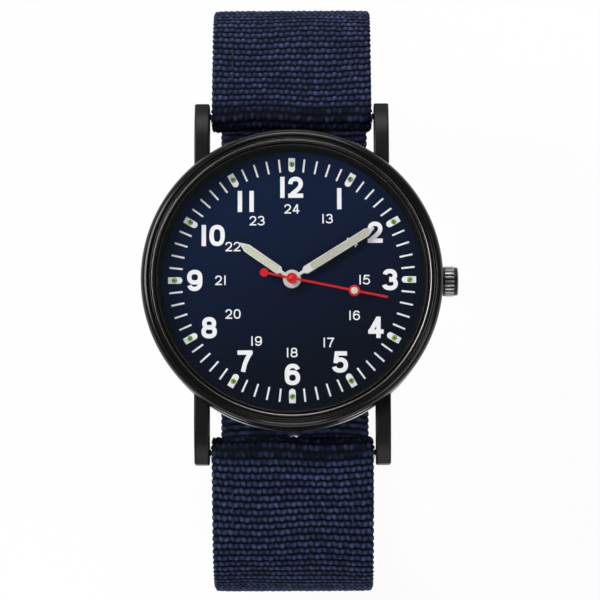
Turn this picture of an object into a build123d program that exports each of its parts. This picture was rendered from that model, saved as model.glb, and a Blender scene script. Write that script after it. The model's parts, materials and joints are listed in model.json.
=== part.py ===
"""Field watch with a woven strap, closed on its buckle, in millimetres.

The dial faces +Z, twelve o'clock is +Y and the crown is +X. The origin is the centre of the
outer face of the case back. The strap loop hangs below the case and the watch stands on its keepers
and the end of its buckle.
"""

from build123d import *
import math
import os

os.makedirs("parts", exist_ok=True)

# Clearances
overrun = 1.0
running_gap = 0.03
seat_gap = 0.02
soft_gap = 0.1
hinge_gap = 0.05

# Case
case_radius = 19.5
case_bottom = 0.95
case_top = 5.95
case_edge_break = 0.3
spigot_step = 0.4
spigot_height = 0.75
spigot_wall = 0.8
case_wall = 2.6
dial_seat_height = 4.55
gasket_groove_wall = 0.3
gasket_groove_width = 0.7
gasket_groove_depth = 0.45

# Lugs, with lengths measured out from the bar that they hold
strap_side_gap = 0.25
lug_width = 2.0
lug_tip_length = 1.6
lug_top = 5.7
lug_bottom = 0.4
lug_belly_gap = 0.4
lug_root_depth = 8.0
lug_bend_length = 4.1
lug_nose_height = 3.7
lug_nose_length = 1.3
lug_chin_height = 1.5
lug_chin_length = 0.9
lug_edge_round = 0.25

# Bezel and crystal, with widths measured in from the widest edge
bezel_overhang = 0.5
bezel_flare_height = 6.7
bezel_wall_top = 7.4
bezel_shoulder_width = 0.24
bezel_shoulder_height = 8.05
bezel_crest_width = 0.8
bezel_crest_height = 8.3
bezel_chamfer_width = 1.1
bezel_groove_width = 0.18
bezel_groove_height = 7.9
bezel_lip_width = 0.25
bezel_lip_height = 8.15
bezel_width = 1.8
crystal_step_width = 0.37
crystal_seat_height = 7.4
crystal_edge_height = 8.3
crystal_shoulder_width = 0.2
crystal_shoulder_height = 8.45
crystal_crown_height = 8.7
crystal_gasket_width = 0.33
flange_top_height = 7.05
flange_bottom_width = 0.95
flange_top_width = 0.35

# Case back
back_edge_proud = 0.2
back_rim_width = 0.7
back_slope_width = 2.6
back_step_width = 0.4
back_step_height = 0.15
back_rim_height = 0.35
back_thickness = 0.6
back_snap_thickness = 0.55
back_snap_height = 1.9
back_gasket_height = 0.38
opener_notch_width = 3.0
opener_notch_depth = 0.5
opener_notch_angle = 120

# Crown, tube and stem
stem_height = 3.45
stem_radius = 0.42
stem_inner_end = 7.2
stem_groove_start = 10.2
stem_groove_width = 0.4
stem_groove_radius = 0.2
crown_standoff = 0.55
crown_radius = 2.0
crown_flange_radius = 1.93
crown_flange_width = 0.25
crown_length = 2.05
crown_rim_width = 0.6
crown_rim_radius = 1.88
crown_rim_round = 0.3
crown_cavity_radius = 1.4
crown_cavity_depth = 1.55
crown_flute_count = 22
crown_flute_radius = 0.17
crown_pull = 0.9
tube_radius = 0.95
tube_bore_radius = 0.47
tube_depth = 2.5
tube_length = 4.4
crown_gasket_depth = 0.1
crown_gasket_width = 0.35

# Dial and its markings
dial_thickness = 0.4
dial_hole_radius = 1.0
dial_foot_radius = 0.35
dial_foot_reach = 12.2
dial_foot_angles = (40, 220)
dial_foot_length = 1.2
marker_margin = 0.85
marker_length = 1.9
marker_width = 0.87
marker_height = 0.07
dot_radius = 0.37
dot_margin = 0.85
dot_height = 0.04
tick_margin = 0.95
tick_length = 1.75
tick_width = 0.24
tick_height = 0.02
ticks_per_hour = 5
hours = 12

# Movement plate and its layers
plate_radius = 13.4
plate_bottom = 3.2
plate_thickness = 0.5
plate_centre_hole = 0.35
bridge_bottom = 1.3
bridge_thickness = 0.4
bridge_lobe_radius = 1.2
gear_thickness = 0.2
layer_spacing = 0.35
lowest_height = 1.8
arbor_radius = 0.12
pivot_start = 1.35
pivot_end = 3.5
ring_bottom = 2.0
ring_ledge_inner = 13.0
ring_stem_bore = 0.6

# Gears: tooth counts, axle distances and directions in degrees
centre_teeth = 64
third_pinion_teeth = 8
third_teeth = 60
second_pinion_teeth = 8
second_teeth = 40
intermediate_pinion_teeth = 8
intermediate_teeth = 48
rotor_pinion_teeth = 8
cannon_teeth = 10
minute_wheel_teeth = 30
minute_pinion_teeth = 8
hour_teeth = 32
third_distance = 4.32
intermediate_distance = 4.32
rotor_distance = 3.36
motion_distance = 4.0
third_angle = 60
intermediate_angle = 200
motion_angle = -30
tooth_tip_share = 0.8
tooth_root_share = 1.2
tooth_tip_width_share = 0.18
tooth_root_width_share = 0.4

# Hand pipes and hands
second_arbor_radius = 0.15
centre_tube_radius = 0.32
centre_tube_end = 4.1
cannon_bore_radius = 0.35
cannon_tube_radius = 0.55
cannon_tube_end = 6.15
motion_height = 3.82
hour_height = 4.17
hour_bore_radius = 0.58
hour_tube_radius = 0.8
hour_tube_end = 5.6
minute_stud_radius = 0.25
minute_stud_end = 4.45
minute_pinion_height = 0.4
hand_thickness = 0.15
hour_hand_height = 5.4
minute_hand_height = 5.95
second_hand_height = 6.5
hour_hand_margin = 8.85
minute_hand_margin = 4.45
second_hand_margin = 4.35
second_hand_tail = 3.75
hour_hand_angle = 305.2
minute_hand_angle = 58.0
second_hand_angle = 101.6
hand_hub_radius = 1.2
hand_width = 1.12
hand_neck_width = 0.45
hand_neck_reach = 1.75
hand_shoulder_reach = 2.1
hand_tip_length = 1.12
hand_tip_width = 0.24
hour_lume_start = 2.3
minute_lume_start = 3.0
lume_width = 0.7
lume_end_margin = 0.75
lume_thickness = 0.13
second_hand_width = 0.3
second_hub_radius = 0.715
second_hand_thickness = 0.12
second_pipe_radius = 0.3
second_pipe_start = 6.25
tail_disc_radius = 0.57
second_ring_radius = 0.75
second_ring_depth = 4.5
second_dot_radius = 0.5

# Drive: rotor, stator and coil
rotor_radius = 0.95
rotor_height = 0.5
rotor_start = 2.45
rotor_clearance = 0.2
rotor_pivot_radius = 0.1
stator_bottom = 2.5
stator_thickness = 0.4
stator_left_reach = -11.0
stator_right_reach = -5.7
stator_window_reach = -9.1
stator_half_height = 6.6
stator_arm_width = 1.2
coil_reach = -10.3
coil_core_width = 1.0
coil_core_thickness = 0.4
coil_core_length = 12.8
coil_winding_length = 10.2
coil_winding_width = 2.1
coil_winding_thickness = 1.6
coil_winding_round = 0.5
coil_screw_reach = 5.95
coil_screw_radius = 0.2
coil_screw_head_radius = 0.42
coil_boss_radius = 0.6

# Screws and pillars of the train bridge and battery clamp
pillar_radius = 0.75
pillar_places = ((-4.6, 4.6), (7.2, 2.6), (-1.5, -6.0))
screw_radius = 0.34
screw_head_radius = 0.65
screw_head_height = 0.22
screw_length = 1.7
screw_slot_width = 0.2
screw_slot_depth = 0.1

# Battery and its clamp
battery_angle = -50
battery_reach = 9.0
battery_radius = 3.4
battery_cap_radius = 2.9
battery_cap_height = 0.38
battery_wall_thickness = 0.4
battery_wall_bottom = 2.0
clamp_bottom = 0.9
clamp_thickness = 0.2
clamp_width = 1.6
clamp_post_reach = 4.6
clamp_post_radius = 0.65

# Circuit board, quartz can and driver chip
board_edge_gap = 0.3
board_width = 3.8
board_start_angle = 12
board_end_angle = 122
board_thickness = 0.25
board_top_gap = 0.05
quartz_radius = 0.75
quartz_length = 5.0
quartz_reach = 10.8
quartz_angle = 88
chip_size = 2.0
chip_thickness = 0.5
chip_angle = 45

# Setting lever and sliding pinion
lever_thickness = 0.2
lever_length = 2.0
lever_width = 3.0
lever_side_share = 0.2
lever_boss_radius = 0.5
lever_boss_reach = 1.5
lever_pin_radius = 0.14
lever_pin_drop = 0.04
sliding_pinion_teeth = 12
sliding_pinion_module = 0.1
sliding_pinion_start = 8.05
sliding_pinion_length = 0.7
pinion_window_margin = 0.12

# Spring bars
bar_standoff = 3.2
bar_height = 2.4
bar_radius = 0.9
bar_end_gap = 0.15
bar_bore_radius = 0.6
bar_end_wall = 0.4
tip_radius = 0.42
tip_recess = 0.1
tip_plunger_length = 0.5
tip_plunger_radius = 0.55
bar_spring_wire = 0.12
bar_spring_wire_sides = 12
bar_spring_radius = 0.42
bar_spring_pitch = 1.3

# Strap
strap_width = 21.5
strap_thickness = 1.3
strap_drop_angle = 22
shoulder_length = 10.0
shoulder_radius = 11.0
side_radius_share = 1.67
side_turn = 20
loop_depth = 41.9
layer_gap = 0.15
fold_angle = 30
fold_bend_radius = 2.5
lug_fold_lap = 4.5
pin_fold_lap = 5.5
inner_band_rise = 2.4
cross_start = 7.0
cross_span = 7.5
tail_end = -26.0
tail_round = 5.0
hole_radius = 1.0
hole_pitch = 7.0
hole_steps = (-2, -1, 1, 2, 3)
tongue_hole_centre = -2.5
tongue_hole_length = 4.2
tongue_hole_width = 2.4
tongue_notch_width = 3.0
tongue_notch_length = 4.6

# Buckle and keepers
pin_reach = 3.0
pin_radius = 0.75
pin_end_cover = 0.5
buckle_reach = 10.6
arm_width = 1.8
arm_height = 3.2
arm_gap = 0.3
arm_edge_round = 0.4
far_bar_radius = 1.0
far_bar_drop_gap = 0.2
tongue_width = 1.6
tongue_thickness = 0.8
tongue_ring_radius = 1.35
tongue_notch_depth = 0.35
tongue_overhang = 1.2
keeper_wall = 1.0
keeper_inner_wall = 0.9
keeper_width = 4.0
keeper_round = 0.9
fixed_keeper_start = 8.0
sliding_keeper_start = 15.5

# Worked out places
bezel_radius = case_radius + bezel_overhang
spigot_radius = case_radius - spigot_step
dial_recess_radius = spigot_radius - spigot_wall
movement_bore_radius = case_radius - case_wall
gasket_groove_inner = movement_bore_radius + gasket_groove_wall
gasket_groove_outer = gasket_groove_inner + gasket_groove_width
bezel_groove_outer = bezel_radius - bezel_chamfer_width
bezel_groove_inner = bezel_groove_outer - bezel_groove_width
crystal_radius = bezel_radius - bezel_width
bezel_bore = crystal_radius + hinge_gap
flange_inner_bottom = crystal_radius - flange_bottom_width
flange_inner_top = crystal_radius - flange_top_width
back_rim_radius = case_radius + back_edge_proud
back_rim_inner_radius = back_rim_radius - back_rim_width
back_step_radius = back_rim_inner_radius - back_slope_width
back_snap_outer = movement_bore_radius - hinge_gap
bar_reach = case_radius + bar_standoff
lug_inner = strap_width / 2 + strap_side_gap
lug_outer = lug_inner + lug_width
lug_root_reach = case_radius - lug_root_depth
tube_start = case_radius - tube_depth
tube_end = tube_start + tube_length
crown_start = case_radius + crown_standoff
crown_gasket_start = crown_start + crown_gasket_depth
marker_outer_radius = flange_inner_bottom - marker_margin
dot_reach = marker_outer_radius - dot_margin
hour_hand_length = flange_inner_bottom - hour_hand_margin
minute_hand_length = flange_inner_bottom - minute_hand_margin
second_hand_length = flange_inner_bottom - second_hand_margin
second_ring_reach = second_hand_length - second_ring_depth
side_radius = side_radius_share * loop_depth
board_outer_radius = ring_ledge_inner - board_edge_gap
board_inner_radius = board_outer_radius - board_width
dial_top = dial_seat_height + dial_thickness
half_strap = strap_width / 2
strap_half_thickness = strap_thickness / 2
layer_step = strap_thickness + layer_gap
lug_wrap_radius = bar_radius + hinge_gap + strap_half_thickness
pin_wrap_radius = pin_radius + hinge_gap + strap_half_thickness
band_level = -loop_depth
tail_level = band_level - layer_step
inner_band_level = tail_level + inner_band_rise
pin_height = band_level + pin_wrap_radius
floor_level = tail_level - strap_half_thickness - soft_gap - keeper_wall
far_bar_place = (
    pin_reach - buckle_reach,
    inner_band_level - strap_half_thickness - far_bar_drop_gap - far_bar_radius,
)
arm_far_place = (far_bar_place[0], floor_level + arm_height / 2)
fold_share = math.sin(math.radians(fold_angle))
fold_long_share = math.cos(math.radians(fold_angle))


def polar(radius, degrees):
    """Point at a radius and an angle from +X."""
    return (radius * math.cos(math.radians(degrees)), radius * math.sin(math.radians(degrees)))


def clock_plane(height, clock_angle):
    """Level plane whose own +Y points to an angle on the dial, clockwise from twelve."""
    turn = math.radians(clock_angle)
    return Plane(origin=(0, 0, height), x_dir=(math.cos(turn), -math.sin(turn), 0), z_dir=(0, 0, 1))


def across_plane(reach, height):
    """Upright plane with its own x along X and its own y along Z, for pieces turned about X."""
    return Plane(origin=(0, reach, height), x_dir=(1, 0, 0), z_dir=(0, -1, 0))


def side_plane(offset, facing=1):
    """Upright plane with its own x along Y, or along -Y, and its own y along Z."""
    return Plane(origin=(facing * offset, 0, 0), x_dir=(0, facing, 0), z_dir=(facing, 0, 0))


def x_axis_at(reach, height):
    """Axis along X through a place in the side view."""
    return Axis((0, reach, height), (1, 0, 0))


def write(piece, label):
    """Names one finished piece and writes it."""
    piece.part.label = label
    export_step(piece.part, "parts/" + label + ".step")


def gear_outline(teeth, module, tooth_angle):
    """Points of a gear with slim straight-sided teeth, one of them centred on the tooth angle."""
    root_radius = module * (teeth / 2 - tooth_root_share)
    tip_radius = module * (teeth / 2 + tooth_tip_share)
    root_half = math.degrees(math.pi * module * tooth_root_width_share / 2 / root_radius)
    tip_half = math.degrees(math.pi * module * tooth_tip_width_share / 2 / tip_radius)
    points = []
    for tooth in range(teeth):
        middle = tooth_angle + tooth * 360 / teeth
        points.append(polar(root_radius, middle - root_half))
        points.append(polar(tip_radius, middle - tip_half))
        points.append(polar(tip_radius, middle + tip_half))
        points.append(polar(root_radius, middle + root_half))
    return points


def add_gear(place, bottom, height, teeth, module, tooth_angle):
    """Adds a toothed disc to the piece that is being made."""
    with BuildSketch(Plane.XY.offset(bottom)) as wheel:
        with Locations(place):
            Polygon(*gear_outline(teeth, module, tooth_angle), align=None)
    extrude(wheel.sketch, amount=height)


def add_disc(place, bottom, top, radius, mode=Mode.ADD):
    """Adds or cuts an upright cylinder."""
    with BuildSketch(Plane.XY.offset(bottom)) as disc:
        with Locations(place):
            Circle(radius)
    extrude(disc.sketch, amount=top - bottom, mode=mode)


def add_turned(points, mode=Mode.ADD):
    """Adds or cuts a body turned about Z from points of radius and height."""
    with BuildSketch(Plane.XZ) as section:
        Polygon(*points, align=None)
    revolve(section.sketch, axis=Axis.Z, mode=mode)


def add_turned_about_x(points, reach, height, mode=Mode.ADD):
    """Adds or cuts a body turned about an axis along X from points of x and radius."""
    with BuildSketch(across_plane(reach, height)) as section:
        Polygon(*points, align=None)
    revolve(section.sketch, axis=x_axis_at(reach, height), mode=mode)


def ring_points(inner, outer, bottom, top):
    """Section of a plain ring."""
    return [(inner, bottom), (outer, bottom), (outer, top), (inner, top)]


def walk(start, heading, runs):
    """End point and heading after straight runs (length, 0) and round runs (radius, turn)."""
    x, y = start
    for size, turn in runs:
        if turn == 0:
            x += size * math.cos(math.radians(heading))
            y += size * math.sin(math.radians(heading))
        else:
            side = 90 if turn > 0 else -90
            centre_x, centre_y = x + polar(size, heading + side)[0], y + polar(size, heading + side)[1]
            heading += turn
            x, y = centre_x - polar(size, heading + side)[0], centre_y - polar(size, heading + side)[1]
    return x, y, heading


def strip_outline(start, heading, runs, thickness):
    """Draws the outline of a strip of even thickness whose middle line follows the runs."""
    half = thickness / 2
    place = (start[0], start[1], heading)
    caps = []
    for size, turn in runs:
        after = walk(place[:2], place[2], [(size, turn)])
        for side in (1, -1):
            near = polar(half, place[2] + side * 90)
            far = polar(half, after[2] + side * 90)
            if turn == 0:
                Line((place[0] + near[0], place[1] + near[1]), (after[0] + far[0], after[1] + far[1]))
            else:
                bend = 1 if turn > 0 else -1
                centre = polar(size, place[2] + bend * 90)
                middle = (place[0] + centre[0], place[1] + centre[1])
                CenterArc(middle, size - bend * side * half, place[2] - bend * 90, turn)
        caps.append((place, after))
        place = after
    for end in (caps[0][0], caps[-1][1]):
        left = polar(half, end[2] + 90)
        Line((end[0] + left[0], end[1] + left[1]), (end[0] - left[0], end[1] - left[1]))


def fold_slope(wrap_radius):
    """Length of the slanting run between a wrap and the lap that lies on the outer layer."""
    rise = wrap_radius - layer_step + wrap_radius * fold_long_share
    return (rise - fold_bend_radius * (1 - fold_long_share)) / fold_share


# Case body with its lugs
with BuildPart() as lug:
    with BuildSketch(side_plane(lug_inner)):
        with BuildLine():
            lug_line = Line((lug_root_reach, lug_top), (bar_reach - lug_bend_length, lug_top))
            lug_nose = (bar_reach + lug_nose_length, lug_nose_height)
            lug_bow = TangentArc(lug_line @ 1, lug_nose, tangent=(1, 0))
            Polyline(
                lug_bow @ 1,
                (bar_reach + lug_tip_length, (lug_nose_height + bar_height + bar_radius) / 2),
                (bar_reach + lug_tip_length, lug_chin_height),
                (bar_reach + lug_chin_length, lug_bottom),
                (case_radius + lug_belly_gap, case_bottom),
                (lug_root_reach, case_bottom),
                (lug_root_reach, lug_top),
            )
        make_face()
    extrude(amount=lug_width)
    rounded = lug.edges().filter_by(lambda edge: edge.center().Y > lug_root_reach + overrun)
    fillet(rounded, lug_edge_round)

with BuildPart() as case_body:
    add(lug.part)
    mirror(about=Plane.YZ)
    mirror(about=Plane.XZ)
    add_turned([
        (0, case_bottom),
        (case_radius - case_edge_break, case_bottom),
        (case_radius, case_bottom + case_edge_break),
        (case_radius, case_top),
        (spigot_radius, case_top),
        (spigot_radius, case_top + spigot_height),
        (0, case_top + spigot_height),
    ])
    add_disc((0, 0), dial_seat_height, bezel_crest_height, dial_recess_radius, Mode.SUBTRACT)
    add_disc((0, 0), 0, dial_seat_height, movement_bore_radius, Mode.SUBTRACT)
    add_turned(
        ring_points(gasket_groove_inner, gasket_groove_outer, 0, case_bottom + gasket_groove_depth),
        Mode.SUBTRACT,
    )
    with BuildSketch(side_plane(0)):
        for facing in (1, -1):
            with Locations((facing * bar_reach, bar_height)):
                Circle(tip_radius + running_gap)
    extrude(amount=lug_outer + overrun, both=True, mode=Mode.SUBTRACT)
    with BuildSketch(side_plane(movement_bore_radius - overrun)):
        with Locations((0, stem_height)):
            Circle(tube_radius + seat_gap)
    extrude(amount=case_radius - movement_bore_radius + 2 * overrun, mode=Mode.SUBTRACT)
write(case_body, "case_body")

# Bezel, crystal, gasket and the sloping inner flange
with BuildPart() as bezel:
    with BuildSketch(Plane.XZ):
        with BuildLine():
            outer_line = Polyline(
                (case_radius, case_top + seat_gap),
                (bezel_radius, bezel_flare_height),
                (bezel_radius, bezel_wall_top),
            )
            outer_bow = ThreePointArc(
                outer_line @ 1,
                (bezel_radius - bezel_shoulder_width, bezel_shoulder_height),
                (bezel_radius - bezel_crest_width, bezel_crest_height),
            )
            Polyline(
                outer_bow @ 1,
                (bezel_groove_outer, bezel_groove_height),
                (bezel_groove_inner, bezel_groove_height),
                (bezel_bore + bezel_lip_width, bezel_lip_height),
                (bezel_bore, bezel_lip_height),
                (bezel_bore, case_top + spigot_height + seat_gap),
                (spigot_radius + seat_gap, case_top + spigot_height + seat_gap),
                (spigot_radius + seat_gap, case_top + seat_gap),
                (case_radius, case_top + seat_gap),
            )
        make_face()
    revolve(axis=Axis.Z)
write(bezel, "bezel")

with BuildPart() as crystal:
    with BuildSketch(Plane.XZ):
        with BuildLine():
            glass_edge = Polyline(
                (0, flange_top_height),
                (crystal_radius - crystal_step_width, flange_top_height),
                (crystal_radius - crystal_step_width, crystal_seat_height),
                (crystal_radius, crystal_seat_height),
                (crystal_radius, crystal_edge_height),
                (crystal_radius - crystal_shoulder_width, crystal_shoulder_height),
            )
            glass_bow = TangentArc(
                (0, crystal_crown_height),
                glass_edge @ 1,
                tangent=(1, 0),
            )
            Line(glass_bow @ 0, (0, flange_top_height))
        make_face()
    revolve(axis=Axis.Z)
write(crystal, "crystal")

with BuildPart() as crystal_gasket:
    add_turned(ring_points(
        crystal_radius - crystal_gasket_width, crystal_radius, flange_top_height, crystal_seat_height
    ))
write(crystal_gasket, "crystal_gasket")

with BuildPart() as inner_flange:
    add_turned([
        (flange_inner_bottom, dial_top),
        (crystal_radius, dial_top),
        (crystal_radius, flange_top_height),
        (flange_inner_top, flange_top_height),
    ])
write(inner_flange, "inner_flange")

# Snap-on case back and its gasket
with BuildPart() as case_back:
    add_turned([
        (0, 0),
        (back_step_radius - back_step_width, 0),
        (back_step_radius, back_step_height),
        (back_rim_inner_radius, back_step_height + back_step_height / 2),
        (back_rim_radius, back_rim_height + back_step_height),
        (back_rim_radius, case_bottom),
        (back_snap_outer, case_bottom),
        (back_snap_outer, back_snap_height),
        (back_snap_outer - back_snap_thickness, back_snap_height),
        (back_snap_outer - back_snap_thickness, back_thickness),
        (0, back_thickness),
    ])
    notch_plane = clock_plane(case_bottom - back_rim_height, opener_notch_angle)
    with BuildSketch(notch_plane):
        with Locations((0, back_rim_radius)):
            Rectangle(opener_notch_width, 2 * opener_notch_depth)
    extrude(amount=back_rim_height, mode=Mode.SUBTRACT)
write(case_back, "case_back")

with BuildPart() as case_back_gasket:
    add_turned(ring_points(
        gasket_groove_inner + hinge_gap,
        gasket_groove_outer - hinge_gap,
        case_bottom,
        case_bottom + back_gasket_height,
    ))
write(case_back_gasket, "case_back_gasket")

# Crown, its gasket, the tube and the stem
with BuildPart() as crown_tube:
    add_turned_about_x([
        (tube_start, tube_bore_radius),
        (tube_end, tube_bore_radius),
        (tube_end, tube_radius),
        (tube_start, tube_radius),
    ], 0, stem_height)
write(crown_tube, "crown_tube")

crown_end = crown_start + crown_length
crown_rim_start = crown_end - crown_rim_width
crown_cavity_end = crown_start + crown_cavity_depth
with BuildPart() as crown:
    with BuildSketch(across_plane(0, stem_height)):
        with BuildLine():
            rim_line = Polyline(
                (crown_cavity_end, 0),
                (crown_cavity_end, crown_cavity_radius),
                (crown_start, crown_cavity_radius),
                (crown_start, crown_flange_radius),
                (crown_start + crown_flange_width, crown_flange_radius),
                (crown_start + crown_flange_width, crown_radius),
                (crown_rim_start, crown_radius),
                (crown_rim_start, crown_rim_radius),
                (crown_end - crown_rim_round, crown_rim_radius),
            )
            rim_bow = RadiusArc(
                rim_line @ 1, (crown_end, crown_rim_radius - crown_rim_round), crown_rim_round
            )
            Polyline(rim_bow @ 1, (crown_end, 0), (crown_cavity_end, 0))
        make_face()
    revolve(axis=x_axis_at(0, stem_height))
    with BuildSketch(Plane(origin=(crown_start + crown_flange_width, 0, stem_height), z_dir=(1, 0, 0))):
        with PolarLocations(crown_radius, crown_flute_count):
            Circle(crown_flute_radius)
    extrude(amount=crown_rim_start - crown_start - crown_flange_width, mode=Mode.SUBTRACT)
write(crown, "crown")

with BuildPart() as crown_gasket:
    add_turned_about_x([
        (crown_gasket_start, tube_radius + running_gap),
        (crown_gasket_start + crown_gasket_width, tube_radius + running_gap),
        (crown_gasket_start + crown_gasket_width, crown_cavity_radius - seat_gap),
        (crown_gasket_start, crown_cavity_radius - seat_gap),
    ], 0, stem_height)
write(crown_gasket, "crown_gasket")

stem_groove_end = stem_groove_start + stem_groove_width
with BuildPart() as stem:
    add_turned_about_x([
        (stem_inner_end, 0),
        (stem_inner_end, stem_radius),
        (stem_groove_start, stem_radius),
        (stem_groove_start, stem_groove_radius),
        (stem_groove_end, stem_groove_radius),
        (stem_groove_end, stem_radius),
        (crown_cavity_end, stem_radius),
        (crown_cavity_end, 0),
    ], 0, stem_height)
write(stem, "stem")

with BuildPart() as sliding_pinion:
    with BuildSketch(Plane(origin=(sliding_pinion_start, 0, stem_height), z_dir=(1, 0, 0))):
        Polygon(*gear_outline(sliding_pinion_teeth, sliding_pinion_module, 0), align=None)
        Circle(stem_radius + seat_gap, mode=Mode.SUBTRACT)
    extrude(amount=sliding_pinion_length)
write(sliding_pinion, "sliding_pinion")

plate_top = plate_bottom + plate_thickness
lever_middle = stem_groove_start + stem_groove_width / 2
lever_bottom = stem_height + stem_radius + running_gap
with BuildPart() as setting_lever:
    with BuildSketch(Plane.XY.offset(lever_bottom)):
        lever_plate_middle = lever_middle + lever_length / 2 - 2 * lever_pin_radius
        with Locations((lever_plate_middle, lever_width * lever_side_share)):
            Rectangle(lever_length, lever_width)
    extrude(amount=lever_thickness)
    lever_pin_end = stem_height + stem_groove_radius + lever_pin_drop
    add_disc((lever_middle, 0), lever_pin_end, lever_bottom, lever_pin_radius)
    add_disc(
        (lever_middle + lever_boss_radius, lever_boss_reach),
        plate_top + running_gap, lever_bottom, lever_boss_radius,
    )
write(setting_lever, "setting_lever")

# Dial with its feet, applied markers, lume dots and minute track
with BuildPart() as dial:
    add_disc((0, 0), dial_seat_height, dial_top, crystal_radius)
    for foot_angle in dial_foot_angles:
        add_disc(
            polar(dial_foot_reach, foot_angle),
            dial_seat_height - dial_foot_length,
            dial_seat_height,
            dial_foot_radius,
        )
    add_disc((0, 0), dial_seat_height, dial_top, dial_hole_radius, Mode.SUBTRACT)
write(dial, "dial")

marker_square_length = marker_length - marker_width / 2
with BuildPart() as hour_markers:
    for hour in range(hours):
        with BuildSketch(clock_plane(dial_top, hour * 360 / hours)):
            with Locations((0, marker_outer_radius - marker_square_length / 2)):
                Rectangle(marker_width, marker_square_length)
            with Locations((0, marker_outer_radius - marker_square_length)):
                Circle(marker_width / 2)
        extrude(amount=marker_height)
write(hour_markers, "hour_markers")

with BuildPart() as marker_dots:
    with BuildSketch(Plane.XY.offset(dial_top + marker_height)):
        with PolarLocations(dot_reach, hours):
            Circle(dot_radius)
    extrude(amount=dot_height)
write(marker_dots, "marker_dots")

with BuildPart() as minute_track:
    for minute in range(hours * ticks_per_hour):
        if minute % ticks_per_hour:
            with BuildSketch(clock_plane(dial_top, minute * 360 / hours / ticks_per_hour)):
                with Locations((0, flange_inner_bottom - tick_margin - tick_length / 2)):
                    Rectangle(tick_width, tick_length)
            extrude(amount=tick_height)
write(minute_track, "minute_track")

# Places of the train
third_place = polar(third_distance, third_angle)
intermediate_place = polar(intermediate_distance, intermediate_angle)
rotor_place = polar(intermediate_distance + rotor_distance, intermediate_angle)
minute_wheel_place = polar(motion_distance, motion_angle)
battery_place = polar(battery_reach, battery_angle)
clamp_direction = battery_angle + 90
clamp_step = polar(clamp_post_reach, clamp_direction)
clamp_posts = [
    (battery_place[0] + side * clamp_step[0], battery_place[1] + side * clamp_step[1])
    for side in (1, -1)
]
coil_screw_places = ((coil_reach, coil_screw_reach), (coil_reach, -coil_screw_reach))
third_height = lowest_height + 2 * layer_spacing
second_height = lowest_height + layer_spacing
centre_height = lowest_height + 3 * layer_spacing
pinion_overlap = (layer_spacing - gear_thickness) / 2
pinion_height = gear_thickness + 2 * pinion_overlap
third_module = 2 * third_distance / (third_teeth + second_pinion_teeth)
centre_module = 2 * third_distance / (centre_teeth + third_pinion_teeth)
second_module = 2 * intermediate_distance / (second_teeth + intermediate_pinion_teeth)
rotor_module = 2 * rotor_distance / (intermediate_teeth + rotor_pinion_teeth)
cannon_module = 2 * motion_distance / (cannon_teeth + minute_wheel_teeth)
hour_module = 2 * motion_distance / (hour_teeth + minute_pinion_teeth)

# Main plate with pillars, battery wall, posts and the slot for the stem
bridge_top = bridge_bottom + bridge_thickness
clamp_top = clamp_bottom + clamp_thickness
pinion_window_start = sliding_pinion_start - pinion_window_margin
pinion_window_length = sliding_pinion_length + crown_pull + 2 * pinion_window_margin
pinion_window_width = sliding_pinion_module * (sliding_pinion_teeth + 2) + 2 * pinion_window_margin
with BuildPart() as main_plate:
    add_disc((0, 0), plate_bottom, plate_top, plate_radius)
    for place in pillar_places:
        add_disc(place, bridge_top, plate_bottom, pillar_radius)
    add_disc(
        battery_place, battery_wall_bottom, plate_bottom,
        battery_radius + hinge_gap + battery_wall_thickness,
    )
    add_disc(battery_place, battery_wall_bottom, plate_bottom, battery_radius + hinge_gap, Mode.SUBTRACT)
    for place in clamp_posts:
        add_disc(place, clamp_top, plate_bottom, clamp_post_radius)
    for place in coil_screw_places:
        add_disc(place, stator_bottom + stator_thickness, plate_bottom, coil_boss_radius)
        add_disc(place, 0, plate_bottom + plate_thickness / 2, coil_screw_radius + seat_gap, Mode.SUBTRACT)
    for place in pillar_places:
        add_disc(place, 0, bridge_bottom + screw_length, screw_radius + seat_gap, Mode.SUBTRACT)
    for place in clamp_posts:
        add_disc(place, 0, clamp_bottom + screw_length, screw_radius + seat_gap, Mode.SUBTRACT)
    add_disc(minute_wheel_place, plate_top, minute_stud_end, minute_stud_radius)
    add_disc((0, 0), plate_bottom, plate_top, plate_centre_hole, Mode.SUBTRACT)
    for place in (third_place, intermediate_place):
        add_disc(place, plate_bottom, plate_top, arbor_radius + running_gap, Mode.SUBTRACT)
    add_disc(rotor_place, plate_bottom, plate_top, rotor_pivot_radius + running_gap, Mode.SUBTRACT)
    for foot_angle in dial_foot_angles:
        add_disc(
            polar(dial_foot_reach, foot_angle), plate_bottom, plate_top,
            dial_foot_radius + hinge_gap, Mode.SUBTRACT,
        )
    with BuildSketch(Plane.XY.offset(plate_bottom)):
        with Locations(((stem_inner_end - seat_gap + plate_radius + overrun) / 2, 0)):
            Rectangle(plate_radius + overrun - stem_inner_end + seat_gap, 2 * (stem_radius + hinge_gap))
        with Locations((pinion_window_start + pinion_window_length / 2, 0)):
            Rectangle(pinion_window_length, pinion_window_width)
    extrude(amount=plate_thickness, mode=Mode.SUBTRACT)
write(main_plate, "main_plate")

with BuildPart() as movement_ring:
    add_turned([
        (ring_ledge_inner, ring_bottom),
        (movement_bore_radius - hinge_gap, ring_bottom),
        (movement_bore_radius - hinge_gap, dial_seat_height - seat_gap),
        (plate_radius + hinge_gap, dial_seat_height - seat_gap),
        (plate_radius + hinge_gap, plate_bottom - seat_gap),
        (ring_ledge_inner, plate_bottom - seat_gap),
    ])
    with BuildSketch(side_plane(ring_ledge_inner - overrun)):
        with Locations((0, stem_height)):
            Circle(ring_stem_bore)
    extrude(amount=movement_bore_radius - ring_ledge_inner + 2 * overrun, mode=Mode.SUBTRACT)
write(movement_ring, "movement_ring")

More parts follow.
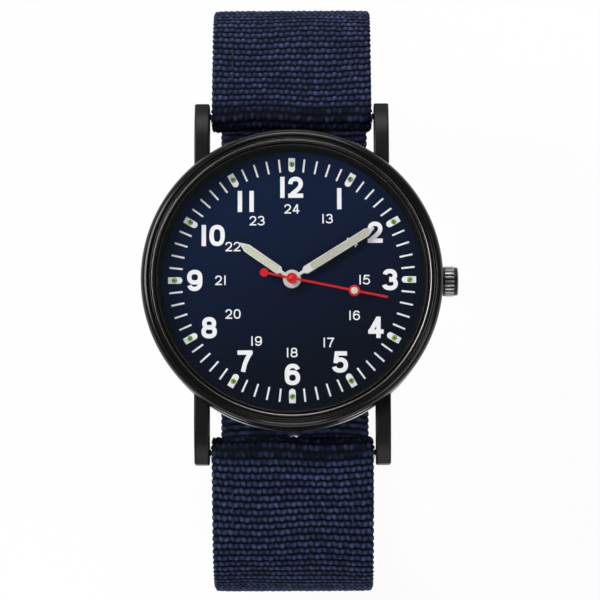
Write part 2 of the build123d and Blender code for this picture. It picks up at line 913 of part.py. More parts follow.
# Train bridge under the wheels, with the screws
with BuildPart() as train_bridge:
    with BuildSketch(Plane.XY.offset(bridge_bottom)):
        with Locations(*pillar_places, third_place, rotor_place):
            Circle(bridge_lobe_radius)
        make_hull()
    extrude(amount=bridge_thickness)
    for place in pillar_places:
        add_disc(place, bridge_bottom, bridge_top, screw_radius + seat_gap, Mode.SUBTRACT)
    for place in (third_place, intermediate_place):
        add_disc(place, bridge_bottom, bridge_top, arbor_radius + running_gap, Mode.SUBTRACT)
    add_disc((0, 0), bridge_bottom, bridge_top, second_arbor_radius + running_gap, Mode.SUBTRACT)
    add_disc(rotor_place, bridge_bottom, bridge_top, rotor_pivot_radius + running_gap, Mode.SUBTRACT)
write(train_bridge, "train_bridge")

core_bottom = stator_bottom - coil_core_thickness
screw_rows = [
    (place, bridge_bottom, screw_radius, screw_head_radius, screw_length)
    for place in pillar_places
]
screw_rows += [
    (place, clamp_bottom, screw_radius, screw_head_radius, screw_length)
    for place in clamp_posts
]
coil_screw_length = plate_bottom - core_bottom
screw_rows += [
    (place, core_bottom, coil_screw_radius, coil_screw_head_radius, coil_screw_length)
    for place in coil_screw_places
]
with BuildPart() as movement_screws:
    for place, seat, shank_radius, head_radius, length in screw_rows:
        add_disc(place, seat - screw_head_height, seat, head_radius)
        add_disc(place, seat, seat + length, shank_radius)
        with BuildSketch(Plane.XY.offset(seat - screw_head_height)):
            with Locations(place):
                Rectangle(2 * head_radius, screw_slot_width)
        extrude(amount=screw_slot_depth, mode=Mode.SUBTRACT)
write(movement_screws, "movement_screws")

# Wheels of the train
with BuildPart() as second_wheel:
    add_disc((0, 0), pivot_start, second_hand_height + second_hand_thickness, second_arbor_radius)
    add_gear((0, 0), second_height, gear_thickness, second_teeth, second_module, intermediate_angle)
    add_gear(
        (0, 0), third_height - pinion_overlap, pinion_height,
        second_pinion_teeth, third_module, third_angle,
    )
write(second_wheel, "second_wheel")

with BuildPart() as third_wheel:
    add_disc(third_place, pivot_start, pivot_end, arbor_radius)
    add_gear(
        third_place, third_height, gear_thickness,
        third_teeth, third_module, third_angle + 180 + 180 / third_teeth,
    )
    add_gear(
        third_place, centre_height - pinion_overlap, pinion_height,
        third_pinion_teeth, centre_module, third_angle + 180 + 180 / third_pinion_teeth,
    )
write(third_wheel, "third_wheel")

with BuildPart() as centre_wheel:
    add_gear((0, 0), centre_height, gear_thickness, centre_teeth, centre_module, third_angle)
    add_disc((0, 0), centre_height, centre_tube_end, centre_tube_radius)
    add_disc((0, 0), centre_height, centre_tube_end, second_arbor_radius + running_gap, Mode.SUBTRACT)
write(centre_wheel, "centre_wheel")

with BuildPart() as intermediate_wheel:
    add_disc(intermediate_place, pivot_start, pivot_end, arbor_radius)
    add_gear(
        intermediate_place, lowest_height, gear_thickness,
        intermediate_teeth, rotor_module, intermediate_angle,
    )
    add_gear(
        intermediate_place, second_height - pinion_overlap, pinion_height,
        intermediate_pinion_teeth, second_module,
        intermediate_angle + 180 + 180 / intermediate_pinion_teeth,
    )
write(intermediate_wheel, "intermediate_wheel")

with BuildPart() as rotor:
    add_disc(rotor_place, pivot_start, pivot_end, rotor_pivot_radius)
    add_gear(
        rotor_place, lowest_height - pinion_overlap, pinion_height,
        rotor_pinion_teeth, rotor_module, intermediate_angle + 180 + 180 / rotor_pinion_teeth,
    )
    add_disc(rotor_place, rotor_start, rotor_start + rotor_height, rotor_radius)
write(rotor, "rotor")

with BuildPart() as cannon_pinion:
    add_gear((0, 0), motion_height, gear_thickness, cannon_teeth, cannon_module, motion_angle)
    add_disc((0, 0), motion_height, cannon_tube_end, cannon_tube_radius)
    add_disc((0, 0), motion_height, cannon_tube_end, cannon_bore_radius, Mode.SUBTRACT)
write(cannon_pinion, "cannon_pinion")

with BuildPart() as minute_wheel:
    add_gear(
        minute_wheel_place, motion_height, gear_thickness,
        minute_wheel_teeth, cannon_module, motion_angle + 180 + 180 / minute_wheel_teeth,
    )
    add_gear(
        minute_wheel_place, motion_height + gear_thickness, minute_pinion_height,
        minute_pinion_teeth, hour_module, motion_angle + 180,
    )
    add_disc(
        minute_wheel_place, motion_height, minute_stud_end,
        minute_stud_radius + running_gap, Mode.SUBTRACT,
    )
write(minute_wheel, "minute_wheel")

with BuildPart() as hour_wheel:
    add_gear((0, 0), hour_height, gear_thickness, hour_teeth, hour_module, motion_angle + 180 / hour_teeth)
    add_disc((0, 0), hour_height, hour_tube_end, hour_tube_radius)
    add_disc((0, 0), hour_height, hour_tube_end, hour_bore_radius, Mode.SUBTRACT)
write(hour_wheel, "hour_wheel")

# Stator, coil and its core
with BuildPart() as stator:
    with BuildSketch(Plane.XY.offset(stator_bottom)):
        with Locations(((stator_window_reach + stator_right_reach) / 2, 0)):
            Rectangle(stator_right_reach - stator_window_reach, 2 * stator_half_height)
        arm_middle = stator_half_height - stator_arm_width / 2
        stator_middle = (stator_left_reach + stator_right_reach) / 2
        with Locations((stator_middle, arm_middle), (stator_middle, -arm_middle)):
            Rectangle(stator_right_reach - stator_left_reach, stator_arm_width)
        with Locations(rotor_place):
            Circle(rotor_radius + rotor_clearance, mode=Mode.SUBTRACT)
        with Locations(*coil_screw_places):
            Circle(coil_screw_radius + seat_gap, mode=Mode.SUBTRACT)
    extrude(amount=stator_thickness)
write(stator, "stator")

with BuildPart() as coil_core:
    with BuildSketch(Plane.XY.offset(core_bottom)):
        with Locations((coil_reach, 0)):
            Rectangle(coil_core_width, coil_core_length)
        with Locations(*coil_screw_places):
            Circle(coil_screw_radius + seat_gap, mode=Mode.SUBTRACT)
    extrude(amount=coil_core_thickness)
write(coil_core, "coil_core")

with BuildPart() as coil_winding:
    with BuildSketch(Plane(origin=(coil_reach, 0, core_bottom + coil_core_thickness / 2), x_dir=(1, 0, 0),
                           z_dir=(0, -1, 0))):
        RectangleRounded(coil_winding_width, coil_winding_thickness, coil_winding_round)
        Rectangle(coil_core_width + 2 * seat_gap, coil_core_thickness + 2 * seat_gap, mode=Mode.SUBTRACT)
    extrude(amount=coil_winding_length / 2, both=True)
write(coil_winding, "coil_winding")

# Battery and the clamp that holds it
battery_top = plate_bottom - seat_gap
with BuildPart() as battery:
    add_disc(battery_place, clamp_top + battery_cap_height, battery_top, battery_radius)
    add_disc(battery_place, clamp_top + seat_gap, clamp_top + battery_cap_height, battery_cap_radius)
write(battery, "battery")

with BuildPart() as battery_clamp:
    with BuildSketch(Plane.XY.offset(clamp_bottom)):
        with Locations(battery_place):
            SlotCenterToCenter(2 * clamp_post_reach, clamp_width, rotation=clamp_direction)
        with Locations(*clamp_posts):
            Circle(screw_radius + seat_gap, mode=Mode.SUBTRACT)
    extrude(amount=clamp_thickness)
write(battery_clamp, "battery_clamp")

# Circuit board with the quartz can and the driver chip under it
board_top = plate_bottom - board_top_gap
board_bottom = board_top - board_thickness
board_span = board_end_angle - board_start_angle
with BuildPart() as circuit_board:
    with BuildSketch(Plane.XY.offset(board_bottom)):
        with BuildLine():
            CenterArc((0, 0), board_inner_radius, board_start_angle, board_span)
            CenterArc((0, 0), board_outer_radius, board_start_angle, board_span)
            for angle in (board_start_angle, board_end_angle):
                Line(polar(board_inner_radius, angle), polar(board_outer_radius, angle))
        make_face()
    extrude(amount=board_thickness)
write(circuit_board, "circuit_board")

quartz_place = polar(quartz_reach, quartz_angle)
with BuildPart() as quartz_can:
    with BuildSketch(Plane(
        origin=(quartz_place[0], quartz_place[1], board_bottom - quartz_radius),
        z_dir=(polar(1, quartz_angle + 90)[0], polar(1, quartz_angle + 90)[1], 0),
    )):
        Circle(quartz_radius)
    extrude(amount=quartz_length / 2, both=True)
write(quartz_can, "quartz_can")

with BuildPart() as driver_chip:
    with BuildSketch(Plane.XY.offset(board_bottom - chip_thickness)):
        with Locations(polar((board_inner_radius + board_outer_radius) / 2, chip_angle)):
            Rectangle(chip_size, chip_size, rotation=chip_angle)
    extrude(amount=chip_thickness)
write(driver_chip, "driver_chip")


# Hands
def hand_outline(length):
    """Half outline points of a baton hand with a short neck and a blunt point, both sides."""
    right = [
        (hand_neck_width / 2, 0),
        (hand_neck_width / 2, hand_neck_reach),
        (hand_width / 2, hand_shoulder_reach),
        (hand_width / 2, length - hand_tip_length),
        (hand_tip_width / 2, length),
    ]
    left = [(-x, y) for x, y in reversed(right)]
    return right + left


def lume_slot(length, start, width):
    """Adds the long slot that holds the lume of a hand."""
    end = length - lume_end_margin
    with Locations((0, (start + end) / 2)):
        SlotOverall(end - start, width, rotation=90, mode=Mode.SUBTRACT)


def make_hand(height, angle, length, lume_start, bore):
    """Hand body with its lume window cut through."""
    with BuildPart() as hand:
        with BuildSketch(clock_plane(height, angle)):
            Polygon(*hand_outline(length), align=None)
            Circle(hand_hub_radius)
            Circle(bore, mode=Mode.SUBTRACT)
            lume_slot(length, lume_start, lume_width)
        extrude(amount=hand_thickness)
    return hand


def make_lume(height, angle, length, lume_start):
    """Lume inlay of a hand, a seat gap smaller than its window."""
    end = length - lume_end_margin
    with BuildPart() as lume:
        with BuildSketch(clock_plane(height, angle)):
            with Locations((0, (lume_start + end) / 2)):
                SlotOverall(end - lume_start - 2 * seat_gap, lume_width - 2 * seat_gap, rotation=90)
        extrude(amount=lume_thickness)
    return lume


hour_hand = make_hand(
    hour_hand_height, hour_hand_angle, hour_hand_length, hour_lume_start, hour_tube_radius + seat_gap
)
write(hour_hand, "hour_hand")
hour_hand_lume = make_lume(hour_hand_height, hour_hand_angle, hour_hand_length, hour_lume_start)
write(hour_hand_lume, "hour_hand_lume")

minute_hand = make_hand(
    minute_hand_height, minute_hand_angle, minute_hand_length, minute_lume_start,
    cannon_tube_radius + seat_gap,
)
write(minute_hand, "minute_hand")
minute_hand_lume = make_lume(minute_hand_height, minute_hand_angle, minute_hand_length, minute_lume_start)
write(minute_hand_lume, "minute_hand_lume")

second_hand_top = second_hand_height + second_hand_thickness
with BuildPart() as second_hand:
    with BuildSketch(clock_plane(second_hand_height, second_hand_angle)):
        with Locations((0, (second_hand_length - second_hand_tail) / 2)):
            Rectangle(second_hand_width, second_hand_length + second_hand_tail)
        Circle(second_hub_radius)
        with Locations((0, -second_hand_tail)):
            Circle(tail_disc_radius)
        with Locations((0, second_ring_reach)):
            Circle(second_ring_radius)
            Circle(second_dot_radius, mode=Mode.SUBTRACT)
    extrude(amount=second_hand_thickness)
    add_disc((0, 0), second_pipe_start, second_hand_height, second_pipe_radius)
    add_disc((0, 0), second_pipe_start, second_hand_top, second_arbor_radius + seat_gap, Mode.SUBTRACT)
write(second_hand, "second_hand")

with BuildPart() as second_hand_lume:
    with BuildSketch(clock_plane(second_hand_height, second_hand_angle)):
        with Locations((0, second_ring_reach)):
            Circle(second_dot_radius - seat_gap)
    extrude(amount=second_hand_thickness)
write(second_hand_lume, "second_hand_lume")

# Spring bars: barrel, spring and two sliding tips each
bar_half_length = lug_inner - bar_end_gap
bar_bore_half = bar_half_length - bar_end_wall
tip_hole_radius = tip_radius + running_gap
plunger_outer = bar_bore_half - seat_gap
plunger_inner = plunger_outer - tip_plunger_length
tip_outer = lug_outer - tip_recess


def make_barrel(reach):
    """Hollow barrel with a hole in each end for the tips."""
    with BuildPart() as barrel:
        add_turned_about_x([
            (0, bar_bore_radius),
            (bar_bore_half, bar_bore_radius),
            (bar_bore_half, tip_hole_radius),
            (bar_half_length, tip_hole_radius),
            (bar_half_length, bar_radius),
            (0, bar_radius),
        ], reach, bar_height)
        mirror(about=Plane.YZ)
    return barrel


def make_tip(reach, side):
    """Tip with the plunger that keeps it in the barrel."""
    with BuildPart() as tip:
        add_turned_about_x([
            (side * plunger_inner, 0),
            (side * plunger_inner, tip_plunger_radius),
            (side * plunger_outer, tip_plunger_radius),
            (side * plunger_outer, tip_radius),
            (side * tip_outer, tip_radius),
            (side * tip_outer, 0),
        ], reach, bar_height)
    return tip


def make_bar_spring(reach):
    """Coil spring between the two plungers."""
    spring_half = plunger_inner - bar_spring_wire - seat_gap
    with BuildPart() as spring:
        with BuildLine():
            coil = Helix(
                bar_spring_pitch, 2 * spring_half, bar_spring_radius,
                center=(-spring_half, reach, bar_height), direction=(1, 0, 0),
            )
        with BuildSketch(Plane(origin=coil @ 0, z_dir=coil % 0)):
            RegularPolygon(bar_spring_wire, bar_spring_wire_sides)
        sweep()
    return spring


for bar_name, bar_y in (("upper", bar_reach), ("lower", -bar_reach)):
    write(make_barrel(bar_y), bar_name + "_bar_barrel")
    write(make_bar_spring(bar_y), bar_name + "_bar_spring")
    write(make_tip(bar_y, 1), bar_name + "_bar_right_tip")
    write(make_tip(bar_y, -1), bar_name + "_bar_left_tip")

# Strap halves, each one bent strip drawn in the side view and as wide as the strap
lug_slope = fold_slope(lug_wrap_radius)
pin_slope = fold_slope(pin_wrap_radius)
fold_reach = fold_share * (fold_bend_radius + lug_wrap_radius) + lug_slope * fold_long_share + lug_fold_lap
fold_lift = lug_wrap_radius - layer_step
drop_turn = math.radians(strap_drop_angle)
fold_start = (
    bar_reach + fold_reach * math.cos(drop_turn) + fold_lift * math.sin(drop_turn),
    bar_height - fold_reach * math.sin(drop_turn) + fold_lift * math.cos(drop_turn),
)
fold_heading = 180 - strap_drop_angle
upper_runs = [
    (lug_fold_lap, 0),
    (fold_bend_radius, fold_angle),
    (lug_slope, 0),
    (lug_wrap_radius, -180 - fold_angle),
    (shoulder_length, 0),
    (shoulder_radius, strap_drop_angle - 90),
    (side_radius, -side_turn),
]
wall_end = walk(fold_start, fold_heading, upper_runs)
corner_drop_share = 1 - math.sin(math.radians(side_turn))


def corner_run(level):
    """Round run from the side of the loop to its flat bottom at a level."""
    return ((wall_end[1] - level) / corner_drop_share, side_turn - 90)


def make_strap(facing, runs):
    """Strip for the half strap that leaves the case towards +Y or, facing -1, towards -Y."""
    with BuildPart() as strap:
        with BuildSketch(side_plane(-half_strap, facing)):
            with BuildLine():
                strip_outline(fold_start, fold_heading, runs, strap_thickness)
            make_face()
        extrude(amount=strap_width)
    return strap


band_corner = corner_run(band_level)
band_corner_end = walk(wall_end[:2], wall_end[2], [band_corner])
upper_bottom_runs = [
    band_corner,
    (band_corner_end[0] - pin_reach, 0),
    (pin_wrap_radius, -180 - fold_angle),
    (pin_slope, 0),
    (fold_bend_radius, fold_angle),
    (pin_fold_lap, 0),
]
strap_blank = make_strap(1, upper_runs + upper_bottom_runs)
with BuildPart() as strap_upper:
    add(strap_blank.part)
    with BuildSketch(Plane.XY.offset(floor_level)):
        with Locations((0, pin_reach - pin_wrap_radius - strap_thickness + tongue_notch_length / 2)):
            Rectangle(tongue_notch_width, tongue_notch_length)
    extrude(amount=pin_height - floor_level + pin_wrap_radius + strap_thickness, mode=Mode.SUBTRACT)
write(strap_upper, "strap_upper")

inner_corner = corner_run(inner_band_level)
inner_corner_end = walk(wall_end[:2], wall_end[2], [inner_corner])
cross_angle = 2 * math.degrees(math.atan(inner_band_rise / cross_span))
cross_radius = cross_span / 2 / math.sin(math.radians(cross_angle))
lower_bottom_runs = [
    inner_corner,
    (inner_corner_end[0] - cross_start, 0),
    (cross_radius, cross_angle),
    (cross_radius, -cross_angle),
    (cross_start - cross_span - tail_end, 0),
]
lower_blank = make_strap(-1, upper_runs + lower_bottom_runs)
hole_depth = inner_band_level + strap_thickness - floor_level
with BuildPart() as strap_lower:
    add(lower_blank.part)
    tail_edges = strap_lower.edges().filter_by(Axis.Z).sort_by(Axis.Y)[-2:]
    fillet(tail_edges, tail_round)
    with BuildSketch(Plane.XY.offset(floor_level)):
        with Locations(*[(0, tongue_hole_centre + step * hole_pitch) for step in hole_steps]):
            Circle(hole_radius)
        with Locations((0, tongue_hole_centre)):
            SlotOverall(tongue_hole_length, tongue_hole_width, rotation=90)
    extrude(amount=hole_depth, mode=Mode.SUBTRACT)
write(strap_lower, "strap_lower")

# Buckle frame, pin and tongue
arm_inner = half_strap + arm_gap
arm_outer = arm_inner + arm_width
arm_span = math.dist((pin_reach, pin_height), arm_far_place)
arm_slant = math.degrees(math.atan2(pin_height - arm_far_place[1], pin_reach - arm_far_place[0]))
arm_centre = ((pin_reach + arm_far_place[0]) / 2, (pin_height + arm_far_place[1]) / 2)
tongue_height_at_bar = (
    far_bar_place[1] - far_bar_radius + tongue_notch_depth - hinge_gap - tongue_thickness / 2
)
tongue_slant = math.degrees(math.atan2(pin_height - tongue_height_at_bar, buckle_reach))
tongue_at_bar = (far_bar_place[0], tongue_height_at_bar)
tongue_length = math.dist((pin_reach, pin_height), tongue_at_bar) + tongue_overhang

with BuildPart() as buckle_frame:
    with BuildSketch(side_plane(arm_inner)):
        with Locations(arm_centre):
            SlotCenterToCenter(arm_span, arm_height, rotation=arm_slant)
    extrude(amount=arm_width)
    fillet(buckle_frame.faces().sort_by(Axis.X)[-1].edges(), arm_edge_round)
    mirror(about=Plane.YZ)
    with BuildSketch(side_plane(0)):
        with Locations(far_bar_place):
            Circle(far_bar_radius)
    extrude(amount=arm_inner + arm_width / 2, both=True)
    with BuildSketch(side_plane(0)):
        with Locations((pin_reach, pin_height)):
            Circle(pin_radius + seat_gap)
    extrude(amount=arm_outer - pin_end_cover, both=True, mode=Mode.SUBTRACT)
    with BuildSketch(side_plane(0)):
        with Locations(tongue_at_bar):
            Rectangle(
                2 * (far_bar_radius + overrun), tongue_thickness + 2 * hinge_gap, rotation=tongue_slant
            )
    extrude(amount=tongue_width / 2 + soft_gap, both=True, mode=Mode.SUBTRACT)
write(buckle_frame, "buckle_frame")

with BuildPart() as buckle_pin:
    with BuildSketch(side_plane(0)):
        with Locations((pin_reach, pin_height)):
            Circle(pin_radius)
    extrude(amount=arm_outer - pin_end_cover - seat_gap, both=True)
write(buckle_pin, "buckle_pin")

with BuildPart() as buckle_tongue:
    tongue_turn = math.radians(tongue_slant)
    with BuildSketch(side_plane(0)):
        with Locations((
            pin_reach - tongue_length / 2 * math.cos(tongue_turn),
            pin_height - tongue_length / 2 * math.sin(tongue_turn),
        )):
            SlotCenterToCenter(tongue_length, tongue_thickness, rotation=tongue_slant)
        with Locations((pin_reach, pin_height)):
            Circle(tongue_ring_radius)
            Circle(pin_radius + hinge_gap, mode=Mode.SUBTRACT)
    extrude(amount=tongue_width / 2, both=True)
write(buckle_tongue, "buckle_tongue")


# Keepers
def make_keeper(start, stack_top):
    """Closed loop round the strap layers, from below the tail to a gap above the stack."""
    opening_bottom = tail_level - strap_half_thickness - soft_gap
    opening_top = stack_top + soft_gap
    middle = (opening_bottom + opening_top) / 2
    outer_middle = (opening_bottom - keeper_wall + opening_top + keeper_inner_wall) / 2
    outer_height = opening_top - opening_bottom + keeper_wall + keeper_inner_wall
    with BuildPart() as keeper:
        with BuildSketch(across_plane(start, 0)):
            with Locations((0, outer_middle)):
                RectangleRounded(strap_width + 2 * (soft_gap + keeper_wall), outer_height, keeper_round)
            with Locations((0, middle)):
                Rectangle(strap_width + 2 * soft_gap, opening_top - opening_bottom, mode=Mode.SUBTRACT)
        extrude(amount=-keeper_width)
    return keeper


lap_top = band_level + layer_step + strap_half_thickness
write(make_keeper(fixed_keeper_start, lap_top), "fixed_keeper")
write(make_keeper(sliding_keeper_start, band_level + strap_half_thickness), "sliding_keeper")
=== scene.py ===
"""Looks of the field watch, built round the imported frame.

Lengths are in millimetres and are scaled by MM where they enter a mesh. The lamps, the floor's
reach, the camera's clipping and the sizes in the sidebar are in metres.
"""

import json
import math
import random

import bmesh
import bpy
from bpy.props import FloatProperty, FloatVectorProperty, PointerProperty
from mathutils import Matrix, Vector


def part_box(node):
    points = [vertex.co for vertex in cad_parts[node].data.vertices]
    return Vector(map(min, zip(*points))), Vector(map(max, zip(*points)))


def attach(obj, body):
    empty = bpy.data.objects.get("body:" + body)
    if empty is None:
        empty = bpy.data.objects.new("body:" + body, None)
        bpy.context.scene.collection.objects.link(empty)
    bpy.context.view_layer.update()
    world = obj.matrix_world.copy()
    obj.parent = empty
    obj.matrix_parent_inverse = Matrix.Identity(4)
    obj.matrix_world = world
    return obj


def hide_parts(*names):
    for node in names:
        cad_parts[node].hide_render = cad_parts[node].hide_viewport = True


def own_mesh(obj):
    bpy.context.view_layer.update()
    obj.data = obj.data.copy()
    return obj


bl_info = {
    "name": "Field watch",
    "version": (1, 0, 0),
    "blender": (4, 5, 0),
    "location": "3D View > Sidebar > Watch",
    "description": "Builds a field watch with a woven strap round its packed frame",
    "category": "Object",
}

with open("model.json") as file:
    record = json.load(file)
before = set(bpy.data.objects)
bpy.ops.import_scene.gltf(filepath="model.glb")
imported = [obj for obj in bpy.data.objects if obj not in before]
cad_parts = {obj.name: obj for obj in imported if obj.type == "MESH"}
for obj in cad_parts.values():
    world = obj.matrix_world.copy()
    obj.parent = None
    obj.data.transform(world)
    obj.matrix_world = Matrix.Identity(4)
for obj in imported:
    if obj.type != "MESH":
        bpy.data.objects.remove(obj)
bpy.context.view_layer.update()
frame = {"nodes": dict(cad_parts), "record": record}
body_of = {
    node: body
    for body, members in frame["record"]["behaviour"]["bodies"].items()
    for node in members
}

MM = 0.001

# Joining, smoothing and rounding
JOIN_REACH = 0.0002
SEAM_REACH = 0.0005
FLAT_ANGLE = 0.6
SMOOTH_ANGLE = 35.0
BREAK_ANGLE = 40.0
CORNER_STEPS = 3
CORNER_SHARE = 0.4
TURNED_STEPS = 192
FINE_TURNED_STEPS = 256
NORMAL_WEIGHT = 50

# Case and case back
CASE_BREAK = 0.03
CASE_BREAK_ANGLE = 50.0
WALL_REACH = 19.2
WALL_HALF_SPAN = 19.6
WALL_FACING = 0.9
BACK_BREAK = 0.04
LEDGE_OUTLINE = ((19.42, 0.9), (19.7, 0.9), (19.7, 1.45), (19.5, 1.62), (19.42, 1.62))
LEDGE_CORNER = 0.03

# Bezel with its inner lip
BEZEL_FOOT = 5.97
BEZEL_OUTLINE = (
    (19.5, BEZEL_FOOT), (20.0, 6.7), (20.0, 7.35), (19.92, 7.68), (19.72, 7.98), (19.46, 8.19),
    (19.16, 8.3), (18.9, 7.9), (18.72, 7.9), (18.5, 8.2), (18.3, 8.12), (18.25, 8.0),
    (18.25, 6.72), (19.12, 6.72), (19.12, BEZEL_FOOT),
)
BEZEL_CORNER = 0.09
LIP_REACH = 18.5
LIP_FOOT = 8.05
LIP_FACING = 0.6

# Crystal, its gasket and the inner flange
CRYSTAL_REACH = 18.2
CRYSTAL_FOOT_REACH = 17.83
CRYSTAL_FOOT = 7.05
CRYSTAL_STEP = 7.4
CRYSTAL_SHOULDER = 8.14
CRYSTAL_TOP = 8.7
CRYSTAL_DOME_STEPS = 16
CRYSTAL_SMOOTH_ANGLE = 30.0
BLACK_EDGE_REACH = 17.8
BLACK_EDGE_TOP = 8.1
GASKET_BORE = 17.87
GASKET_CORNER = 0.05
FLANGE_TOE = 17.25
FLANGE_HEAD = 17.85
FLANGE_CORNER = 0.03

# Dial
HOUR_TURN = 30
DIAL_TOP = 4.95
MARKER_TOP = 5.02
DOT_REACH = 15.55
DOT_RADIUS = 0.37
DOT_PIT_RADIUS = 0.13
DOT_STEPS = 24
DOT_OUTLINE = (
    (0, 0), (DOT_RADIUS, 0), (DOT_RADIUS, 0.012), (0.33, 0.032), (0.26, 0.04), (0.2, 0.036),
    (0.14, 0.018), (0.06, 0.01), (0, 0.008),
)
PRINT_THICKNESS = 0.014
PRINT_STEP = 0.002
STROKE_TURN = 9
STROKE_LEAST_STEPS = 6
BOWL_POWER = 2.3
ZERO_POWER = 2.5
STROKE_MITRE = 0.5
CLOSED_SHARE = 0.02
HOUR_STROKE = 0.58
HOUR_DIGIT_WIDTH = 2.04
HOUR_DIGIT_GAP = 0.45
ELEVEN_GAP = 0.97
SMALL_STROKE = 0.175
SMALL_DIGIT_WIDTH = 0.92
SMALL_DIGIT_GAP = 0.18
SMALL_ONE_SPACE = 0.12
HOUR_REACHES = {
    12: 12.46, 1: 12.59, 2: 12.73, 3: 12.99, 4: 12.73, 5: 12.65,
    6: 12.59, 7: 12.46, 8: 12.65, 9: 12.86, 10: 12.04, 11: 12.22,
}
SMALL_REACHES = {
    24: 9.55, 13: 9.48, 14: 9.43, 15: 9.6, 16: 9.52, 17: 9.65,
    18: 9.68, 19: 9.39, 20: 9.02, 21: 9.48, 22: 9.02, 23: 9.21,
}
SMALL_TURNS = {14: -2}

# Hands, with the level above which the edges of each are broken
HAND_BREAK_LEVELS = {"hour_hand": 5.5, "minute_hand": 6.05, "second_hand": 6.57}
HAND_BREAK = 0.12
SECOND_HAND_BREAK = 0.04
LUME_BREAK = 0.03
CAP_OUTLINE = ((0, 0), (0.36, 0), (0.34, 0.04), (0.22, 0.09), (0, 0.11))
CAP_STEPS = 32

# Crown
CROWN_BREAK = 0.04
CROWN_BREAK_ANGLE = 30.0
# Painted shade on the crown: its flutes' hollows and its root next to the case take a dark finish
CROWN_HOLLOW_RADIUS = 1.88
CROWN_HOLLOW_FACING = 0.5
CROWN_ROOT = 0.27

# Coil winding and board tracks, each track with its reach and its first and last angle
WIRE_PITCH = 0.16
WIRE_ROWS = 4
WIRE_GROOVE = 0.05
WINDING_CORNER = 0.5
WINDING_CORNER_STEPS = 6
WINDING_SMOOTH_ANGLE = 70.0
TRACKS = ((9.4, 18, 60), (9.9, 22, 74), (12.2, 20, 116), (11.7, 52, 80), (9.4, 98, 118))
TRACK_STEPS = 24
TRACK_WIDTH = 0.22
TRACK_THICKNESS = 0.03
PAD_OUTLINE = ((0, -0.14), (0.16, -0.1), (0.27, -0.03), (0.3, 0), (0, 0))
PAD_STEPS = 16

# Pieces that keep their solid's shape: node, finish, width and segments of the broken edges
BACK_PIECES = (("case_back_gasket", "gasket_rubber", 0.08),)
DIAL_PIECES = (
    ("dial", "dial_lacquer", 0.03), ("hour_markers", "white_print", 0.02), ("minute_track", "white_print"),
)
CROWN_PIECES = (
    ("crown_gasket", "gasket_rubber", 0.05), ("stem", "movement_steel", 0.03),
    ("sliding_pinion", "movement_steel"), ("setting_lever", "movement_steel", 0.02),
)
PLATE_PIECES = (
    ("main_plate", "plate_nickel", 0.03), ("movement_ring", "movement_plastic", 0.06),
    ("train_bridge", "plate_nickel", 0.05), ("movement_screws", "movement_steel", 0.03),
)
TRAIN_PIECES = (
    ("second_wheel", "movement_brass"), ("third_wheel", "movement_brass"),
    ("centre_wheel", "movement_brass"), ("intermediate_wheel", "movement_brass"),
    ("minute_wheel", "movement_brass"), ("cannon_pinion", "movement_steel"),
    ("hour_wheel", "movement_steel"),
)
DRIVE_PIECES = (
    ("rotor", "movement_steel", 0.02), ("stator", "movement_steel", 0.02),
    ("coil_core", "movement_steel", 0.02),
)
CIRCUIT_PIECES = (
    ("battery", "movement_steel", 0.12, 3), ("battery_clamp", "movement_steel", 0.04),
    ("circuit_board", "board_green", 0.02), ("quartz_can", "movement_steel", 0.12, 3),
    ("driver_chip", "chip_black", 0.05),
)
BUCKLE_PIECES = (
    ("buckle_frame", "buckle_black", 0.12, 3), ("buckle_pin", "movement_steel", 0.08),
    ("buckle_tongue", "buckle_black", 0.1, 3),
)

# Spring bars
BARREL_BREAK = 0.08
TIP_BREAK = 0.06

# Strap
NEAREST_STEPS = 2000
STRAP_HALF_WIDTH = 10.75
STRAP_THICKNESS = 1.3
STRAP_DROP = 22
BAR_REACH = 22.7
BAR_HEIGHT = 2.4
WRAP_RADIUS = 1.6
PIN_WRAP_RADIUS = 1.45
LAYER_STEP = 1.45
FOLD_ANGLE = 30
FOLD_BEND = 2.5
LUG_LAP = 4.5
PIN_LAP = 5.5
SHOULDER_LENGTH = 10.0
SHOULDER_RADIUS = 11.0
SIDE_RADIUS = 69.973
SIDE_TURN = 20
BAND_LEVEL = -41.9
TAIL_LEVEL = BAND_LEVEL - LAYER_STEP
INNER_RISE = 2.4
PIN_REACH = 3.0
CROSS_START = 7.0
CROSS_SPAN = 7.5
TAIL_END = 26.0
TAIL_ROUND = 5.0
HOLE_RADIUS = 1.0
HOLE_REACHES = (-16.5, -9.5, 4.5, 11.5, 18.5)
SLOT_REACH = -2.5
SLOT_HALF_LENGTH = 2.1
SLOT_HALF_WIDTH = 1.2
RIM_BAND = 0.34
RIM_OVERLAP = 0.6
RIM_CORNER = 0.12
RIM_NIB = 0.3
RIM_FALL = 0.02
RIM_PROUD = 0.04
RIM_STRETCH = 6
RIM_STEPS = 48
FLAT_SPAN = 60
NOTCH_REACH = 4.85
NOTCH_OVERRUN = 0.6
NOTCH_HALF_WIDTH = 1.5

# Runs of the strap's paths at which the shoulder and the buckle pin's wrap begin
SHOULDER_RUN = 4
PIN_WRAP_RUN = 9

# Keepers, each with its start along Y, its top and its seed
KEEPER_THICKNESS = 0.9
KEEPER_HALF_SPAN = 11.3
KEEPER_BOTTOM = -44.65
KEEPER_WIDTH = 4.0
KEEPER_CORNER = 0.62
KEEPERS = {"fixed_keeper": (8.0, -39.25, 21), "sliding_keeper": (15.5, -40.7, 22)}

